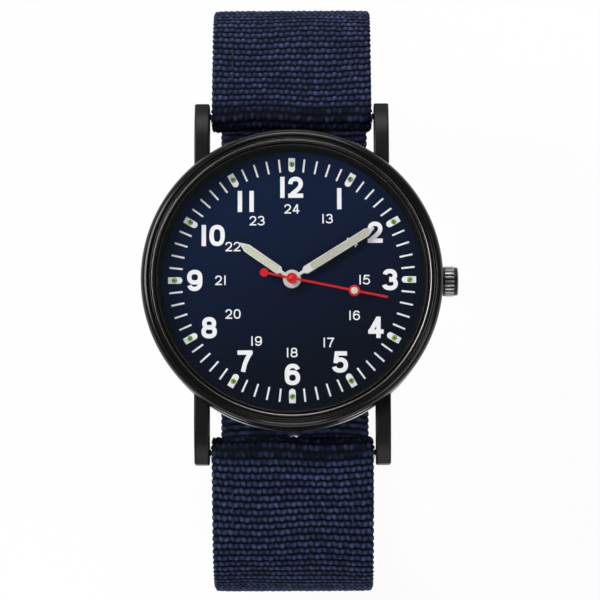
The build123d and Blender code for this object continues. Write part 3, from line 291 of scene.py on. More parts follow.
# Weave: rows of a rib, columns of a bead, how square they are and how far they sway
RIB_ROWS = 5
BEAD_COLUMNS = 3
RIB_POWER = 0.38
RIB_LEVELS = (0.84, 0.92)
BEAD_POWER = 0.35
BEAD_SHARE = 0.55
INNER_BEAD = 0.8
TONE_SHARE = 0.08
EDGE_POWER = 10
FLANK_POWER = 0.125
FREE_END = 2.0
SWAYS = ((0.16, 4.1, 3.7), (0.1, 1.9, -5.3))
BEAD_SWAY = 0.07
BEAD_JITTER = 0.05
WEAVE_SMOOTH_ANGLE = 80.0
UPPER_SEED = 5
LOWER_SEED = 11

# Painted shade on the strap: all of its inner face, the folds at the bars and the puckers at the stitches
INNER_PAINTED_SHADE = 2.3
FOLD_PAINTED_SHADE = 2.5
FOLD_QUARTERS = 1.8
FOLD_FADE = 1.2
PUCKER_PAINTED_SHADE = 2.5
PUCKER_REACH = 4.3
PUCKER_RADIUS = 0.7

# Stitches, with their distances from a lap's end, the bars and the buckle pin
STITCH_SINK = 0.16
STITCH_GAP = 0.35
STITCH_MARGIN = 2.8
SEAM_MARGIN = 1.6
LAP_STITCHES = (1.0, 3.0)
MAIN_STITCHES = (5.2, 7.1, 9.0)
PIN_LAP_SEAMS = (1.2, 4.2)
PIN_MAIN_SEAMS = (4.6, 7.6)

# Stage, each lamp with its place, size and power
FLOOR_LEVEL = -45.1
FLOOR_REACH = 3.0
FLOOR_GLOW = 0.94
ROOM_LIGHT = 0.1
LAMPS = (
    ("left_lamp", (-0.75, 0.3, 0.75), 0.6, 9.4), ("right_lamp", (0.72, -0.4, 0.72), 0.6, 2.6),
    ("back_lamp", (0.0, 0.85, 0.65), 0.5, 3.6), ("front_lamp", (0.0, -0.9, 0.5), 0.5, 2.0),
)
CAMERA_TILT = 8.8
CAMERA_SIDE = 0.3
CAMERA_ROLL = 0.25
CAMERA_DISTANCE = 448.0
CAMERA_TARGET = (1.06, -3.15, 8.3)
CAMERA_CLIP = (0.01, 10.0)
VIEW_WIDTH = 79.0
SENSOR_WIDTH = 36.0

# Finishes: grains and patches in millimetres, and ranges as the lowest and highest result, with
# where in the value they start and end
GLOSS_FLOOR = 0.02
RING_GLOSS_SHARES = (0.7, 1.4)
RING_SHADE_SHARE = 0.8
RING_PATCH = 6.0
# Painted light on the dial: the slope and reaches of its fall from the lighter colour to the darker one
DIAL_PAINTED_LIGHT_SLOPE = -0.35
DIAL_PAINTED_LIGHT_REACHES = (-12, 20)
DIAL_GRAIN = 0.12
DIAL_SPECK_RANGE = (0, 0.22)
DIAL_GLOSS = (0.42, 0.58)
DIAL_SHINE = 0.03
DOT_PATCH = 0.34
DOT_GRAIN = 0.08
DOT_PATCHES = (0, 0.85, 0.5, 0.62)
DOT_GLOSS = (0.3, 0.5)
PRINT_RELIEF = 0.001
FIBRE_GRAIN = 0.07
FIBRE_STRETCH = (6, 1, 1)
FIBRE_AND_SHEEN_STREAKS = (0, 0.55, 0.45, 0.75)
FIBRE_RELIEF = 0.05
FIBRE_STRENGTH = 0.8
CELL_GRAIN = 0.9
CELL_SHARE = 0.6
YARN_PATCH = 7.0
# The strap's painted shade: how its weave height and its tone spread to a share of the crest colour
YARN_CRESTS = (0, 1, 0.3, 0.92)
YARN_TONES = (0.08, 1.0, -3.0, 1.0)
YARN_PATCHES = (0.5, 0, 0.35, 0.65)
YARN_GLOSS = (0.62, 0.85)
YARN_SHINE = 0.08
GLASS_BENDING = 1.35
SMEAR_PATCH = 9.0
SMEAR_GLOSS = (0.0, 0.015)
FLOOR_ROUGHNESS = 0.9

# Linear colours of the finest detail
DIAL_SPECK = (0.0, 0.001, 0.004)
YARN_DARK = (0.004, 0.005, 0.016)
# The streak colour is partly the fibres' own and partly painted sheen.
FIBRE_AND_SHEEN_LIGHT = (0.11, 0.13, 0.24)
FLANGE_BLACK = (0.003, 0.003, 0.003)
RUBBER_BLACK = (0.012, 0.012, 0.012)


def in_mm(length):
    """Property length in millimetres."""
    return length / MM


def shade(red, green, blue):
    """Linear colour of a screen colour given from 0 to 255."""
    linear = []
    for value in (red, green, blue):
        part = value / 255
        linear.append(part / 12.92 if part <= 0.04045 else ((part + 0.055) / 1.055) ** 2.4)
    return tuple(linear)


def length_property(name, description, default):
    """Length property in metres with its default in millimetres."""
    return FloatProperty(
        name=name, description=description, default=default * MM, unit="LENGTH", min=0.0, precision=5
    )


def colour_property(name, description, default):
    """Colour property with its default as a screen colour."""
    return FloatVectorProperty(
        name=name, description=description, default=shade(*default),
        subtype="COLOR", size=3, min=0.0, max=1.0,
    )


class WatchSizes(bpy.types.PropertyGroup):
    """Sizes of the finer detail."""

    rib_spacing: length_property("Rib spacing", "Distance between the woven ribs of the strap", 0.96)
    bead_spacing: length_property("Bead spacing", "Distance between the beads along a rib", 0.78)
    weave_depth: length_property("Weave depth", "Depth of the gaps between the beads", 0.36)
    edge_scallop: length_property("Edge scallop", "Depth of the scallops in the strap's edges", 0.16)
    stitch_length: length_property("Stitch length", "Length of one stitch", 1.5)
    stitch_radius: length_property("Stitch thickness", "Half the thickness of the thread", 0.14)
    hour_height: length_property("Hour number height", "Height of the numbers 1 to 12", 2.85)
    small_height: length_property("Small number height", "Height of the numbers 13 to 24", 1.27)


class WatchColours(bpy.types.PropertyGroup):
    """Colours of the main surfaces."""

    strap: colour_property("Strap", "Crests of the woven strap", (72, 85, 131))
    # The gap colour is painted shade between the beads.
    strap_gap: colour_property("Strap gaps", "Gaps between the strap's beads", (5, 7, 18))
    # The dial's two colours are painted light and painted shade, mixed across its face.
    dial: colour_property("Dial", "Brighter side of the dial", (14, 33, 67))
    dial_shade: colour_property("Dial shade", "Darker side of the dial", (2, 10, 25))
    case: colour_property("Case", "Black coat of the case and buckle", (19, 19, 20))
    steel: colour_property("Case back", "Polished steel of the case back", (205, 205, 205))
    print: colour_property("Markings", "White of the numbers, markers and minute track", (246, 247, 250))
    dot: colour_property("Marker dots", "Green dots on the hour markers", (142, 186, 76))
    dot_pit: colour_property("Marker dot centres", "Dark centres of the green dots", (38, 66, 22))
    hand: colour_property("Hands", "Silver of the hour and minute hands", (242, 242, 240))
    lume: colour_property("Lume", "Pale filling of the hands", (205, 214, 180))
    lume_grey: colour_property("Minute lume", "Greyer filling of the minute hand", (182, 186, 164))
    second: colour_property("Second hand", "Red of the second hand", (214, 20, 28))


# Materials


def add_node(tree, kind, links=None, **settings):
    """Adds a shader node, sets its settings and joins or sets its inputs."""
    node = tree.nodes.new(kind)
    for key, value in settings.items():
        setattr(node, key, value)
    for key, value in (links or {}).items():
        if isinstance(value, bpy.types.NodeSocket):
            tree.links.new(value, node.inputs[key])
        else:
            node.inputs[key].default_value = value
    return node


def solid_colour(colour):
    """Colour with the full cover that a socket asks for."""
    return [*colour, 1]


def mix_colours(tree, factor, first, second):
    """Colour output of a mix of two colours."""
    mix = add_node(tree, "ShaderNodeMix", data_type="RGBA")
    for key, value in ((0, factor), (6, first), (7, second)):
        if isinstance(value, bpy.types.NodeSocket):
            tree.links.new(value, mix.inputs[key])
        else:
            mix.inputs[key].default_value = value
    return mix.outputs[2]


def spread_value(tree, value, low, high, start=0.3, end=0.7):
    """Spreads a value from one range over another."""
    node = add_node(tree, "ShaderNodeMapRange", {
        "Value": value, "From Min": start, "From Max": end, "To Min": low, "To Max": high,
    })
    return node.outputs["Result"]


def maths(tree, operation, first, second):
    """Result of one sum."""
    return add_node(tree, "ShaderNodeMath", {0: first, 1: second}, operation=operation).outputs[0]


def roughen(tree, shader, height, distance, strength=1.0):
    """Gives the shader a relief whose depth is in millimetres."""
    relief = add_node(tree, "ShaderNodeBump", {
        "Height": height, "Strength": strength, "Distance": distance * MM,
    })
    tree.links.new(relief.outputs["Normal"], shader.inputs["Normal"])


def new_material(name):
    """New material with a node tree, its main shader and object coordinates."""
    material = bpy.data.materials.new(name)
    material.use_nodes = True
    tree = material.node_tree
    shader = tree.nodes["Principled BSDF"]
    place = add_node(tree, "ShaderNodeTexCoord").outputs["Object"]
    return material, tree, shader, place


def noise_at(tree, place, grain, stretch=(1, 1, 1), detail=3.0, rough=0.55):
    """Noise whose grain is a size in millimetres, stretched along the axes."""
    scale = [1 / (grain * MM * part) for part in stretch]
    mapping = add_node(tree, "ShaderNodeMapping", {"Vector": place, "Scale": scale})
    return add_node(tree, "ShaderNodeTexNoise", {
        "Vector": mapping.outputs["Vector"], "Scale": 1.0, "Detail": detail, "Roughness": rough,
    }).outputs["Fac"]


def plain_finish(
    name, colour, roughness, grain, bump, metallic=0.0, spread=0.06, tint=0.12, specular=0.5, patch=4.0
):
    """Material with fine grain, uneven gloss and slightly uneven colour."""
    material, tree, shader, place = new_material(name)
    fine = noise_at(tree, place, grain)
    wide = noise_at(tree, place, patch)
    shader.inputs["Metallic"].default_value = metallic
    shader.inputs["Specular IOR Level"].default_value = specular
    both = maths(tree, "ADD", maths(tree, "MULTIPLY", fine, 0.5), maths(tree, "MULTIPLY", wide, 0.5))
    rough = spread_value(tree, both, max(roughness - spread, GLOSS_FLOOR), roughness + spread)
    tree.links.new(rough, shader.inputs["Roughness"])
    darker = [part * (1 - tint) for part in colour]
    colours = mix_colours(
        tree, spread_value(tree, wide, 0, 1), solid_colour(darker), solid_colour(colour)
    )
    tree.links.new(colours, shader.inputs["Base Color"])
    roughen(tree, shader, fine, bump)
    return material


def ringed_finish(name, colour, roughness, ring, bump):
    """Metal with fine turned rings round the dial's axis."""
    material, tree, shader, place = new_material(name)
    shader.inputs["Metallic"].default_value = 1.0
    flat = add_node(tree, "ShaderNodeVectorMath", {0: place, 1: (1, 1, 0)}, operation="MULTIPLY")
    reach = add_node(tree, "ShaderNodeVectorMath", {0: flat.outputs[0]}, operation="LENGTH")
    turns = add_node(tree, "ShaderNodeCombineXYZ", {"X": reach.outputs["Value"]})
    lines = noise_at(tree, turns.outputs[0], ring, detail=5.0, rough=0.7)
    wide = noise_at(tree, place, RING_PATCH)
    rough = spread_value(tree, lines, *[roughness * share for share in RING_GLOSS_SHARES])
    tree.links.new(rough, shader.inputs["Roughness"])
    darker = [part * RING_SHADE_SHARE for part in colour]
    colours = mix_colours(
        tree, spread_value(tree, wide, 0, 1), solid_colour(darker), solid_colour(colour)
    )
    tree.links.new(colours, shader.inputs["Base Color"])
    roughen(tree, shader, lines, bump)
    return material


def dial_finish(colours):
    """Navy dial with painted light, a fixed fall from its lighter side at eleven o'clock to painted shade
    towards five, with a fine grain.
    """
    material, tree, shader, place = new_material("dial_lacquer")
    parts = add_node(tree, "ShaderNodeSeparateXYZ", {"Vector": place})
    across = maths(tree, "MULTIPLY", parts.outputs["X"], DIAL_PAINTED_LIGHT_SLOPE)
    # Painted light: the dial's colour is mixed along a fixed slope across its face.
    slope = maths(tree, "ADD", across, parts.outputs["Y"])
    light = spread_value(tree, slope, 0, 1, *[reach * MM for reach in DIAL_PAINTED_LIGHT_REACHES])
    base = mix_colours(tree, light, solid_colour(colours.dial_shade), solid_colour(colours.dial))
    grain = noise_at(tree, place, DIAL_GRAIN, detail=2.0)
    speck = mix_colours(tree, spread_value(tree, grain, *DIAL_SPECK_RANGE), base, solid_colour(DIAL_SPECK))
    tree.links.new(speck, shader.inputs["Base Color"])
    tree.links.new(spread_value(tree, grain, *DIAL_GLOSS), shader.inputs["Roughness"])
    shader.inputs["Specular IOR Level"].default_value = DIAL_SHINE
    roughen(tree, shader, grain, PRINT_RELIEF)
    return material


def dot_finish(colours):
    """Green lume with darker olive patches."""
    material, tree, shader, place = new_material("dot_green")
    patch = noise_at(tree, place, DOT_PATCH, detail=1.0)
    fine = noise_at(tree, place, DOT_GRAIN)
    share = spread_value(tree, patch, *DOT_PATCHES)
    base = mix_colours(tree, share, solid_colour(colours.dot), solid_colour(colours.dot_pit))
    tree.links.new(base, shader.inputs["Base Color"])
    tree.links.new(spread_value(tree, fine, *DOT_GLOSS), shader.inputs["Roughness"])
    roughen(tree, shader, fine, PRINT_RELIEF)
    return material


def webbing_finish(colours):
    """Woven yarn with painted shade in the gaps between the beads, in the folds at the bars and on the inner
    face, and with fibre streaks along the strap that are partly painted sheen on the crests.
    """
    material, tree, shader, place = new_material("navy_webbing")
    height = add_node(tree, "ShaderNodeAttribute", attribute_name="weave").outputs["Fac"]
    tone = add_node(tree, "ShaderNodeAttribute", attribute_name="tone").outputs["Fac"]
    thread = add_node(tree, "ShaderNodeUVMap", uv_map="weave_map").outputs["UV"]
    fibres = noise_at(tree, thread, FIBRE_GRAIN, FIBRE_STRETCH, detail=2.0)
    cells = noise_at(tree, thread, CELL_GRAIN, detail=1.0)
    wide = noise_at(tree, place, YARN_PATCH, detail=2.0)
    # Painted shade: the colour falls from the crest colour to the near-black gap colour as the weave gets
    # lower, and the tone takes off the painted shade of the folds and the inner face.
    painted_shade_and_tone = spread_value(tree, height, *YARN_CRESTS)
    painted_shade_and_tone = maths(tree, "MULTIPLY", painted_shade_and_tone, spread_value(tree, tone, *YARN_TONES))
    yarn = mix_colours(tree, painted_shade_and_tone, solid_colour(colours.strap_gap), solid_colour(colours.strap))
    small_part = maths(tree, "MULTIPLY", cells, CELL_SHARE)
    uneven = maths(tree, "ADD", small_part, maths(tree, "MULTIPLY", wide, 1 - CELL_SHARE))
    patch = spread_value(tree, uneven, *YARN_PATCHES)
    darker = mix_colours(tree, patch, yarn, solid_colour(YARN_DARK))
    # Fibre streaks, partly painted sheen: lighter streaks that show only on the crests.
    fibres_and_painted_sheen = maths(tree, "MULTIPLY", spread_value(tree, fibres, *FIBRE_AND_SHEEN_STREAKS), painted_shade_and_tone)
    streak = mix_colours(tree, fibres_and_painted_sheen, darker, solid_colour(FIBRE_AND_SHEEN_LIGHT))
    tree.links.new(streak, shader.inputs["Base Color"])
    tree.links.new(spread_value(tree, fibres, *YARN_GLOSS), shader.inputs["Roughness"])
    shader.inputs["Specular IOR Level"].default_value = YARN_SHINE
    roughen(tree, shader, fibres, FIBRE_RELIEF, FIBRE_STRENGTH)
    return material


def glass_finish():
    """Clear crystal that lets lamps through to the dial."""
    material, tree, shader, place = new_material("crystal_glass")
    shader.inputs["Base Color"].default_value = (1, 1, 1, 1)
    shader.inputs["Transmission Weight"].default_value = 1.0
    shader.inputs["IOR"].default_value = GLASS_BENDING
    smear = noise_at(tree, place, SMEAR_PATCH)
    tree.links.new(spread_value(tree, smear, *SMEAR_GLOSS), shader.inputs["Roughness"])
    clear = add_node(tree, "ShaderNodeBsdfTransparent")
    path = add_node(tree, "ShaderNodeLightPath")
    passing = maths(tree, "MAXIMUM", path.outputs["Is Shadow Ray"], path.outputs["Is Diffuse Ray"])
    mix = add_node(tree, "ShaderNodeMixShader", {0: passing, 1: shader.outputs[0], 2: clear.outputs[0]})
    tree.links.new(mix.outputs[0], tree.nodes["Material Output"].inputs["Surface"])
    return material


def floor_finish():
    """White floor that keeps a soft share of the shadow."""
    material, tree, shader, _ = new_material("white_floor")
    shader.inputs["Base Color"].default_value = (1, 1, 1, 1)
    shader.inputs["Roughness"].default_value = FLOOR_ROUGHNESS
    shader.inputs["Specular IOR Level"].default_value = 0.0
    glow = add_node(tree, "ShaderNodeEmission", {"Color": (1, 1, 1, 1), "Strength": 1.0})
    path = add_node(tree, "ShaderNodeLightPath")
    seen = maths(tree, "MAXIMUM", path.outputs["Is Camera Ray"], path.outputs["Is Glossy Ray"])
    seen = maths(tree, "MAXIMUM", seen, path.outputs["Is Transmission Ray"])
    share = maths(tree, "MULTIPLY", seen, FLOOR_GLOW)
    mix = add_node(tree, "ShaderNodeMixShader", {0: share, 1: shader.outputs[0], 2: glow.outputs[0]})
    tree.links.new(mix.outputs[0], tree.nodes["Material Output"].inputs["Surface"])
    return material


def make_materials():
    """All materials of the watch by name, the plain ones from colour, roughness, grain and bump."""
    colours = bpy.context.scene.watch_colours
    metal = {"metallic": 1.0}
    plain = {
        "case_satin": (colours.case, 0.4, 0.12, 0.001, {"spread": 0.05, "specular": 0.25}),
        "case_side": (colours.case, 0.12, 0.15, 0.0001, {"spread": 0.03}),
        "case_gloss": (colours.case, 0.18, 0.15, 0.0001, {"spread": 0.02, "specular": 0.36}),
        "lip_bright": (shade(112, 112, 110), 0.28, 0.15, 0.0001, metal),
        "flange_satin": (FLANGE_BLACK, 0.42, 0.1, 0.0005, {"specular": 0.07}),
        "crown_metal": (shade(196, 196, 198), 0.4, 0.1, 0.0008, metal),
        # The crown's dark finish is painted shade in its hollows and at its root.
        "crown_painted_shade": (shade(16, 16, 17), 0.4, 0.1, 0.002, {"specular": 0.3}),
        "gasket_rubber": (RUBBER_BLACK, 0.7, 0.25, 0.003, {}),
        "white_print": (colours.print, 0.55, 0.08, 0.001, {"tint": 0.03}),
        "dot_centre": (colours.dot_pit, 0.4, 0.06, 0.002, {"tint": 0.3, "patch": 0.3}),
        "hand_silver": (colours.hand, 0.3, 0.1, 0.0006, {"metallic": 0.25}),
        "lume_paste": (colours.lume, 0.7, 0.09, 0.004, {"tint": 0.1, "patch": 0.8}),
        "lume_grey": (colours.lume_grey, 0.7, 0.09, 0.004, {"tint": 0.1, "patch": 0.8}),
        "second_red": (colours.second, 0.3, 0.1, 0.0006, {}),
        "navy_thread": (shade(18, 22, 50), 0.75, 0.06, 0.01, {"tint": 0.4, "patch": 0.4}),
        "sealed_edge": (shade(20, 24, 52), 0.42, 0.12, 0.01, {"tint": 0.3}),
        "buckle_black": (colours.case, 0.3, 0.14, 0.001, {"spread": 0.08}),
        "movement_brass": (shade(214, 178, 104), 0.3, 0.1, 0.001, metal),
        "movement_steel": (shade(196, 198, 202), 0.25, 0.1, 0.0008, metal),
        "movement_plastic": (shade(46, 47, 50), 0.5, 0.2, 0.003, {}),
        "board_green": (shade(24, 92, 48), 0.4, 0.2, 0.002, {}),
        "chip_black": (shade(22, 22, 24), 0.55, 0.07, 0.003, {}),
        "winding_copper": (shade(196, 112, 62), 0.28, 0.1, 0.001, metal),
    }
    materials = {name: plain_finish(name, *values[:4], **values[4]) for name, values in plain.items()}
    return materials | {
        "steel_turned": ringed_finish("steel_turned", colours.steel, 0.28, 0.09, 0.0005),
        "plate_nickel": ringed_finish("plate_nickel", shade(200, 196, 186), 0.32, 0.14, 0.001),
        "dial_lacquer": dial_finish(colours),
        "dot_green": dot_finish(colours),
        "navy_webbing": webbing_finish(colours),
        "crystal_glass": glass_finish(),
        "white_floor": floor_finish(),
    }


shared_materials = {}


def material_of(name):
    """One of the watch's materials, made when first asked for."""
    if not shared_materials:
        shared_materials.update(make_materials())
    return shared_materials[name]


# Pieces


def finish_piece(
    name, mesh_data, finishes, nodes=(), body=None, slot=None, sharp=SMOOTH_ANGLE, weighted=True
):
    """Turns mesh data into a named piece that stands for its nodes and rides on their body."""
    bmesh.ops.recalc_face_normals(mesh_data, faces=mesh_data.faces)
    limit = math.radians(sharp)
    for face in mesh_data.faces:
        face.smooth = True
    for edge in mesh_data.edges:
        edge.smooth = edge.is_manifold and edge.calc_face_angle(math.pi) < limit
    mesh = bpy.data.meshes.new(name)
    mesh_data.to_mesh(mesh)
    mesh_data.free()
    if not mesh.polygons:
        raise RuntimeError(name + " has no faces")
    piece = bpy.data.objects.new(name, mesh)
    bpy.context.scene.collection.objects.link(piece)
    for finish in finishes:
        mesh.materials.append(material_of(finish))
    if weighted:
        normals = piece.modifiers.new("weighted_normals", "WEIGHTED_NORMAL")
        normals.keep_sharp = True
        normals.weight = NORMAL_WEIGHT
    if nodes:
        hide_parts(*nodes)
    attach(piece, body or body_of[nodes[0]])
    return piece


def node_piece(node, mesh_data, *finishes, **settings):
    """Piece that stands for one node and bears its name."""
    return finish_piece("visual_" + node, mesh_data, finishes, [node], **settings)


def extra_piece(name, mesh_data, finish, slot, body="watch_case", weighted=True):
    """Piece of finer detail that stands for no node."""
    return finish_piece(name, mesh_data, [finish], body=body, slot=slot, weighted=weighted)


def merged_copy(node):
    """Mesh data of a frame node with its loose triangles joined and flat faces made whole."""
    mesh = frame["nodes"][node].data.copy()
    for layer in [attribute.name for attribute in mesh.attributes if "normal" in attribute.name]:
        mesh.attributes.remove(mesh.attributes[layer])
    mesh.materials.clear()
    mesh_data = bmesh.new()
    mesh_data.from_mesh(mesh)
    bpy.data.meshes.remove(mesh)
    bmesh.ops.remove_doubles(mesh_data, verts=mesh_data.verts, dist=JOIN_REACH * MM)
    bmesh.ops.dissolve_limit(
        mesh_data, angle_limit=math.radians(FLAT_ANGLE), verts=mesh_data.verts, edges=mesh_data.edges
    )
    bmesh.ops.recalc_face_normals(mesh_data, faces=mesh_data.faces)
    return mesh_data


def join_seam(mesh_data):
    """Joins the open edges of a rolled-up grid."""
    bmesh.ops.remove_doubles(
        mesh_data, verts=[vert for vert in mesh_data.verts if vert.is_boundary], dist=SEAM_REACH * MM
    )


def close_ends(mesh_data):
    """Closes the openings that are left with one face each."""
    edges = [edge for edge in mesh_data.edges if edge.is_boundary]
    bmesh.ops.holes_fill(mesh_data, edges=edges, sides=0)


def break_edges(mesh_data, width, segments=2, sharp=BREAK_ANGLE, wanted=None):
    """Bevels the sharp edges, or those of them that are wanted."""
    limit = math.radians(sharp)
    edges = [
        edge for edge in mesh_data.edges
        if edge.is_manifold and edge.calc_face_angle(0.0) > limit and (wanted is None or wanted(edge))
    ]
    bmesh.ops.bevel(
        mesh_data, geom=edges, offset=width * MM, offset_type="OFFSET", affect="EDGES",
        segments=segments, profile=0.5, clamp_overlap=True, material=-1,
    )


def refined(node, finish, bevel=None, segments=2, wanted=None):
    """Piece made from a frame node, joined up, with broken edges and smooth round faces."""
    mesh_data = merged_copy(node)
    if bevel:
        break_edges(mesh_data, bevel, segments, wanted=wanted)
    return node_piece(node, mesh_data, finish)


def refine_all(pieces):
    """Refines each node of a group with its own finish and bevel."""
    for piece in pieces:
        refined(*piece)


def rounded_profile(points, radius, steps=CORNER_STEPS):
    """Closed profile with its corners rounded."""
    result = []
    count = len(points)
    for index, point in enumerate(points):
        here = Vector(point)
        before = Vector(points[index - 1]) - here
        after = Vector(points[(index + 1) % count]) - here
        reach = min(radius, before.length * CORNER_SHARE, after.length * CORNER_SHARE)
        start = here + before.normalized() * reach
        end = here + after.normalized() * reach
        for step in range(steps + 1):
            share = step / steps
            low = start.lerp(here, share)
            high = here.lerp(end, share)
            result.append(low.lerp(high, share))
    return result


def turned(mesh_data, profile, steps=TURNED_STEPS, centre=(0, 0), height=0.0):
    """Spins a closed profile of radius and height round an upright axis."""
    middle = Vector((centre[0] * MM, centre[1] * MM, height * MM))
    verts = [
        mesh_data.verts.new(middle + Vector((point[0] * MM, 0, point[1] * MM))) for point in profile
    ]
    edges = [
        mesh_data.edges.new((verts[index], verts[(index + 1) % len(verts)])) for index in range(len(verts))
    ]
    bmesh.ops.spin(
        mesh_data, geom=verts + edges, cent=middle, axis=(0, 0, 1), dvec=(0, 0, 0),
        angle=math.tau, steps=steps, use_merge=True,
    )
    bmesh.ops.remove_doubles(mesh_data, verts=mesh_data.verts, dist=JOIN_REACH * MM)


def paint_faces(mesh_data, slot_number, wanted):
    """Gives a material slot to the faces whose radius, height and normal are wanted."""
    mesh_data.normal_update()
    bmesh.ops.recalc_face_normals(mesh_data, faces=mesh_data.faces)
    for face in mesh_data.faces:
        middle = face.calc_center_median() / MM
        if wanted(middle.xy.length, middle.z, face.normal):
            face.material_index = slot_number


def turned_piece(node, profile, finish, corner):
    """Turned piece that stands for one node."""
    mesh_data = bmesh.new()
    turned(mesh_data, rounded_profile(profile, corner))
    return node_piece(node, mesh_data, finish)


def grid_points(mesh_data, rows, columns, place):
    """Adds a grid and puts the vertex of each row and column where place says."""
    made = bmesh.ops.create_grid(mesh_data, x_segments=rows, y_segments=columns, size=1.0)["verts"]
    cells = {}
    for vert in made:
        row = round((vert.co.x + 1) / 2 * rows)
        column = round((vert.co.y + 1) / 2 * columns)
        cells[vert] = (row, column)
    for vert, (row, column) in cells.items():
        vert.co = place(row, column) * MM
    return cells


# Strap paths and webbing


class StripPath:
    """Middle line of a strap half in the side view, from runs of (length, 0) or (radius, turn)."""

    def __init__(self, start, heading, runs, facing):
        self.facing = facing
        self.pieces = []
        self.length = 0.0
        place = Vector(start)
        for size, turn in runs:
            span = size if turn == 0 else size * math.radians(abs(turn))
            self.pieces.append((self.length, span, place.copy(), heading, size, turn))
            place, heading = self.after(place, heading, size, turn, 1.0)
            self.length += span
        self.end = place

    @staticmethod
    def after(place, heading, size, turn, share):
        """Place and heading after a share of one run."""
        angle = math.radians(heading)
        if turn == 0:
            return place + Vector((math.cos(angle), math.sin(angle))) * size * share, heading
        side = math.copysign(math.pi / 2, turn)
        centre = place + Vector((math.cos(angle + side), math.sin(angle + side))) * size
        angle += math.radians(turn * share)
        place = centre - Vector((math.cos(angle + side), math.sin(angle + side))) * size
        return place, heading + turn * share

    def at(self, reach):
        """Place and outward direction at a length along the path."""
        reach = min(max(reach, 0.0), self.length)
        chosen = self.pieces[0]
        for piece in self.pieces:
            if piece[0] <= reach:
                chosen = piece
        begin, span, place, heading, size, turn = chosen
        here, heading = self.after(place, heading, size, turn, (reach - begin) / span)
        normal = math.radians(heading + 90)
        return (
            Vector((0, self.facing * here.x, here.y)),
            Vector((0, self.facing * math.cos(normal), math.sin(normal))),
        )

    def nearest(self, reach_y, first=0.0):
        """Length along the path, past a first part, at which it passes a place along Y."""
        span = self.length - first
        spots = [first + span * step / NEAREST_STEPS for step in range(NEAREST_STEPS + 1)]
        return min(spots, key=lambda spot: abs(self.at(spot)[0].y - reach_y))


def fold_slope(wrap):
    """Length of the slanting run between a wrap and its lap."""
    rise = wrap - LAYER_STEP + wrap * math.cos(math.radians(FOLD_ANGLE))
    return (rise - FOLD_BEND * (1 - math.cos(math.radians(FOLD_ANGLE)))) / math.sin(math.radians(FOLD_ANGLE))


def strap_paths():
    """Paths of the half at twelve and the half at six."""
    slope = fold_slope(WRAP_RADIUS)
    fold = math.radians(FOLD_ANGLE)
    drop = math.radians(STRAP_DROP)
    reach = math.sin(fold) * (FOLD_BEND + WRAP_RADIUS) + slope * math.cos(fold) + LUG_LAP
    lift = WRAP_RADIUS - LAYER_STEP
    start = (
        BAR_REACH + reach * math.cos(drop) + lift * math.sin(drop),
        BAR_HEIGHT - reach * math.sin(drop) + lift * math.cos(drop),
    )
    heading = 180 - STRAP_DROP
    runs = [
        (LUG_LAP, 0), (FOLD_BEND, FOLD_ANGLE), (slope, 0), (WRAP_RADIUS, -180 - FOLD_ANGLE),
        (SHOULDER_LENGTH, 0), (SHOULDER_RADIUS, STRAP_DROP - 90), (SIDE_RADIUS, -SIDE_TURN),
    ]
    side = StripPath(start, heading, runs, 1)
    share = 1 - math.sin(math.radians(SIDE_TURN))

    def corner(level):
        return ((side.end.y - level) / share, SIDE_TURN - 90)

    band_end = StripPath(start, heading, runs + [corner(BAND_LEVEL)], 1).end.x
    upper = runs + [
        corner(BAND_LEVEL), (band_end - PIN_REACH, 0), (PIN_WRAP_RADIUS, -180 - FOLD_ANGLE),
        (fold_slope(PIN_WRAP_RADIUS), 0), (FOLD_BEND, FOLD_ANGLE), (PIN_LAP, 0),
    ]
    inner_level = TAIL_LEVEL + INNER_RISE
    inner_end = StripPath(start, heading, runs + [corner(inner_level)], 1).end.x
    turn = 2 * math.degrees(math.atan(INNER_RISE / CROSS_SPAN))
    radius = CROSS_SPAN / 2 / math.sin(math.radians(turn))
    lower = runs + [
        corner(inner_level), (inner_end - CROSS_START, 0), (radius, turn), (radius, -turn),
        (CROSS_START - CROSS_SPAN + TAIL_END, 0),
    ]
    return StripPath(start, heading, upper, 1), StripPath(start, heading, lower, -1)


class LoopPath:
    """Closed loop of a keeper in the plane across the strap."""

    def __init__(self, middle_y, bottom, top):
        self.middle_y = middle_y
        width = 2 * (KEEPER_HALF_SPAN - KEEPER_CORNER)
        height = top - bottom - 2 * KEEPER_CORNER
        turn = (KEEPER_CORNER, 90)
        runs = [(width, 0), turn, (height, 0), turn] * 2
        self.path = StripPath((KEEPER_CORNER - KEEPER_HALF_SPAN, bottom), 0, runs, 1)
        self.length = self.path.length

    def at(self, reach):
        """Place and outward direction at a length along the loop."""
        here, normal = self.path.at(reach % self.length)
        return Vector((here.y, self.middle_y, here.z)), -Vector((normal.y, 0, normal.z))


def inside_opening(reach, across, opening):
    """True if a spot of the flat strap lies in an opening with round ends."""
    centre, half_length, half_width = opening
    along = max(abs(reach - centre) - max(half_length - half_width, 0.0), 0.0)
    return math.hypot(along, across) < half_width


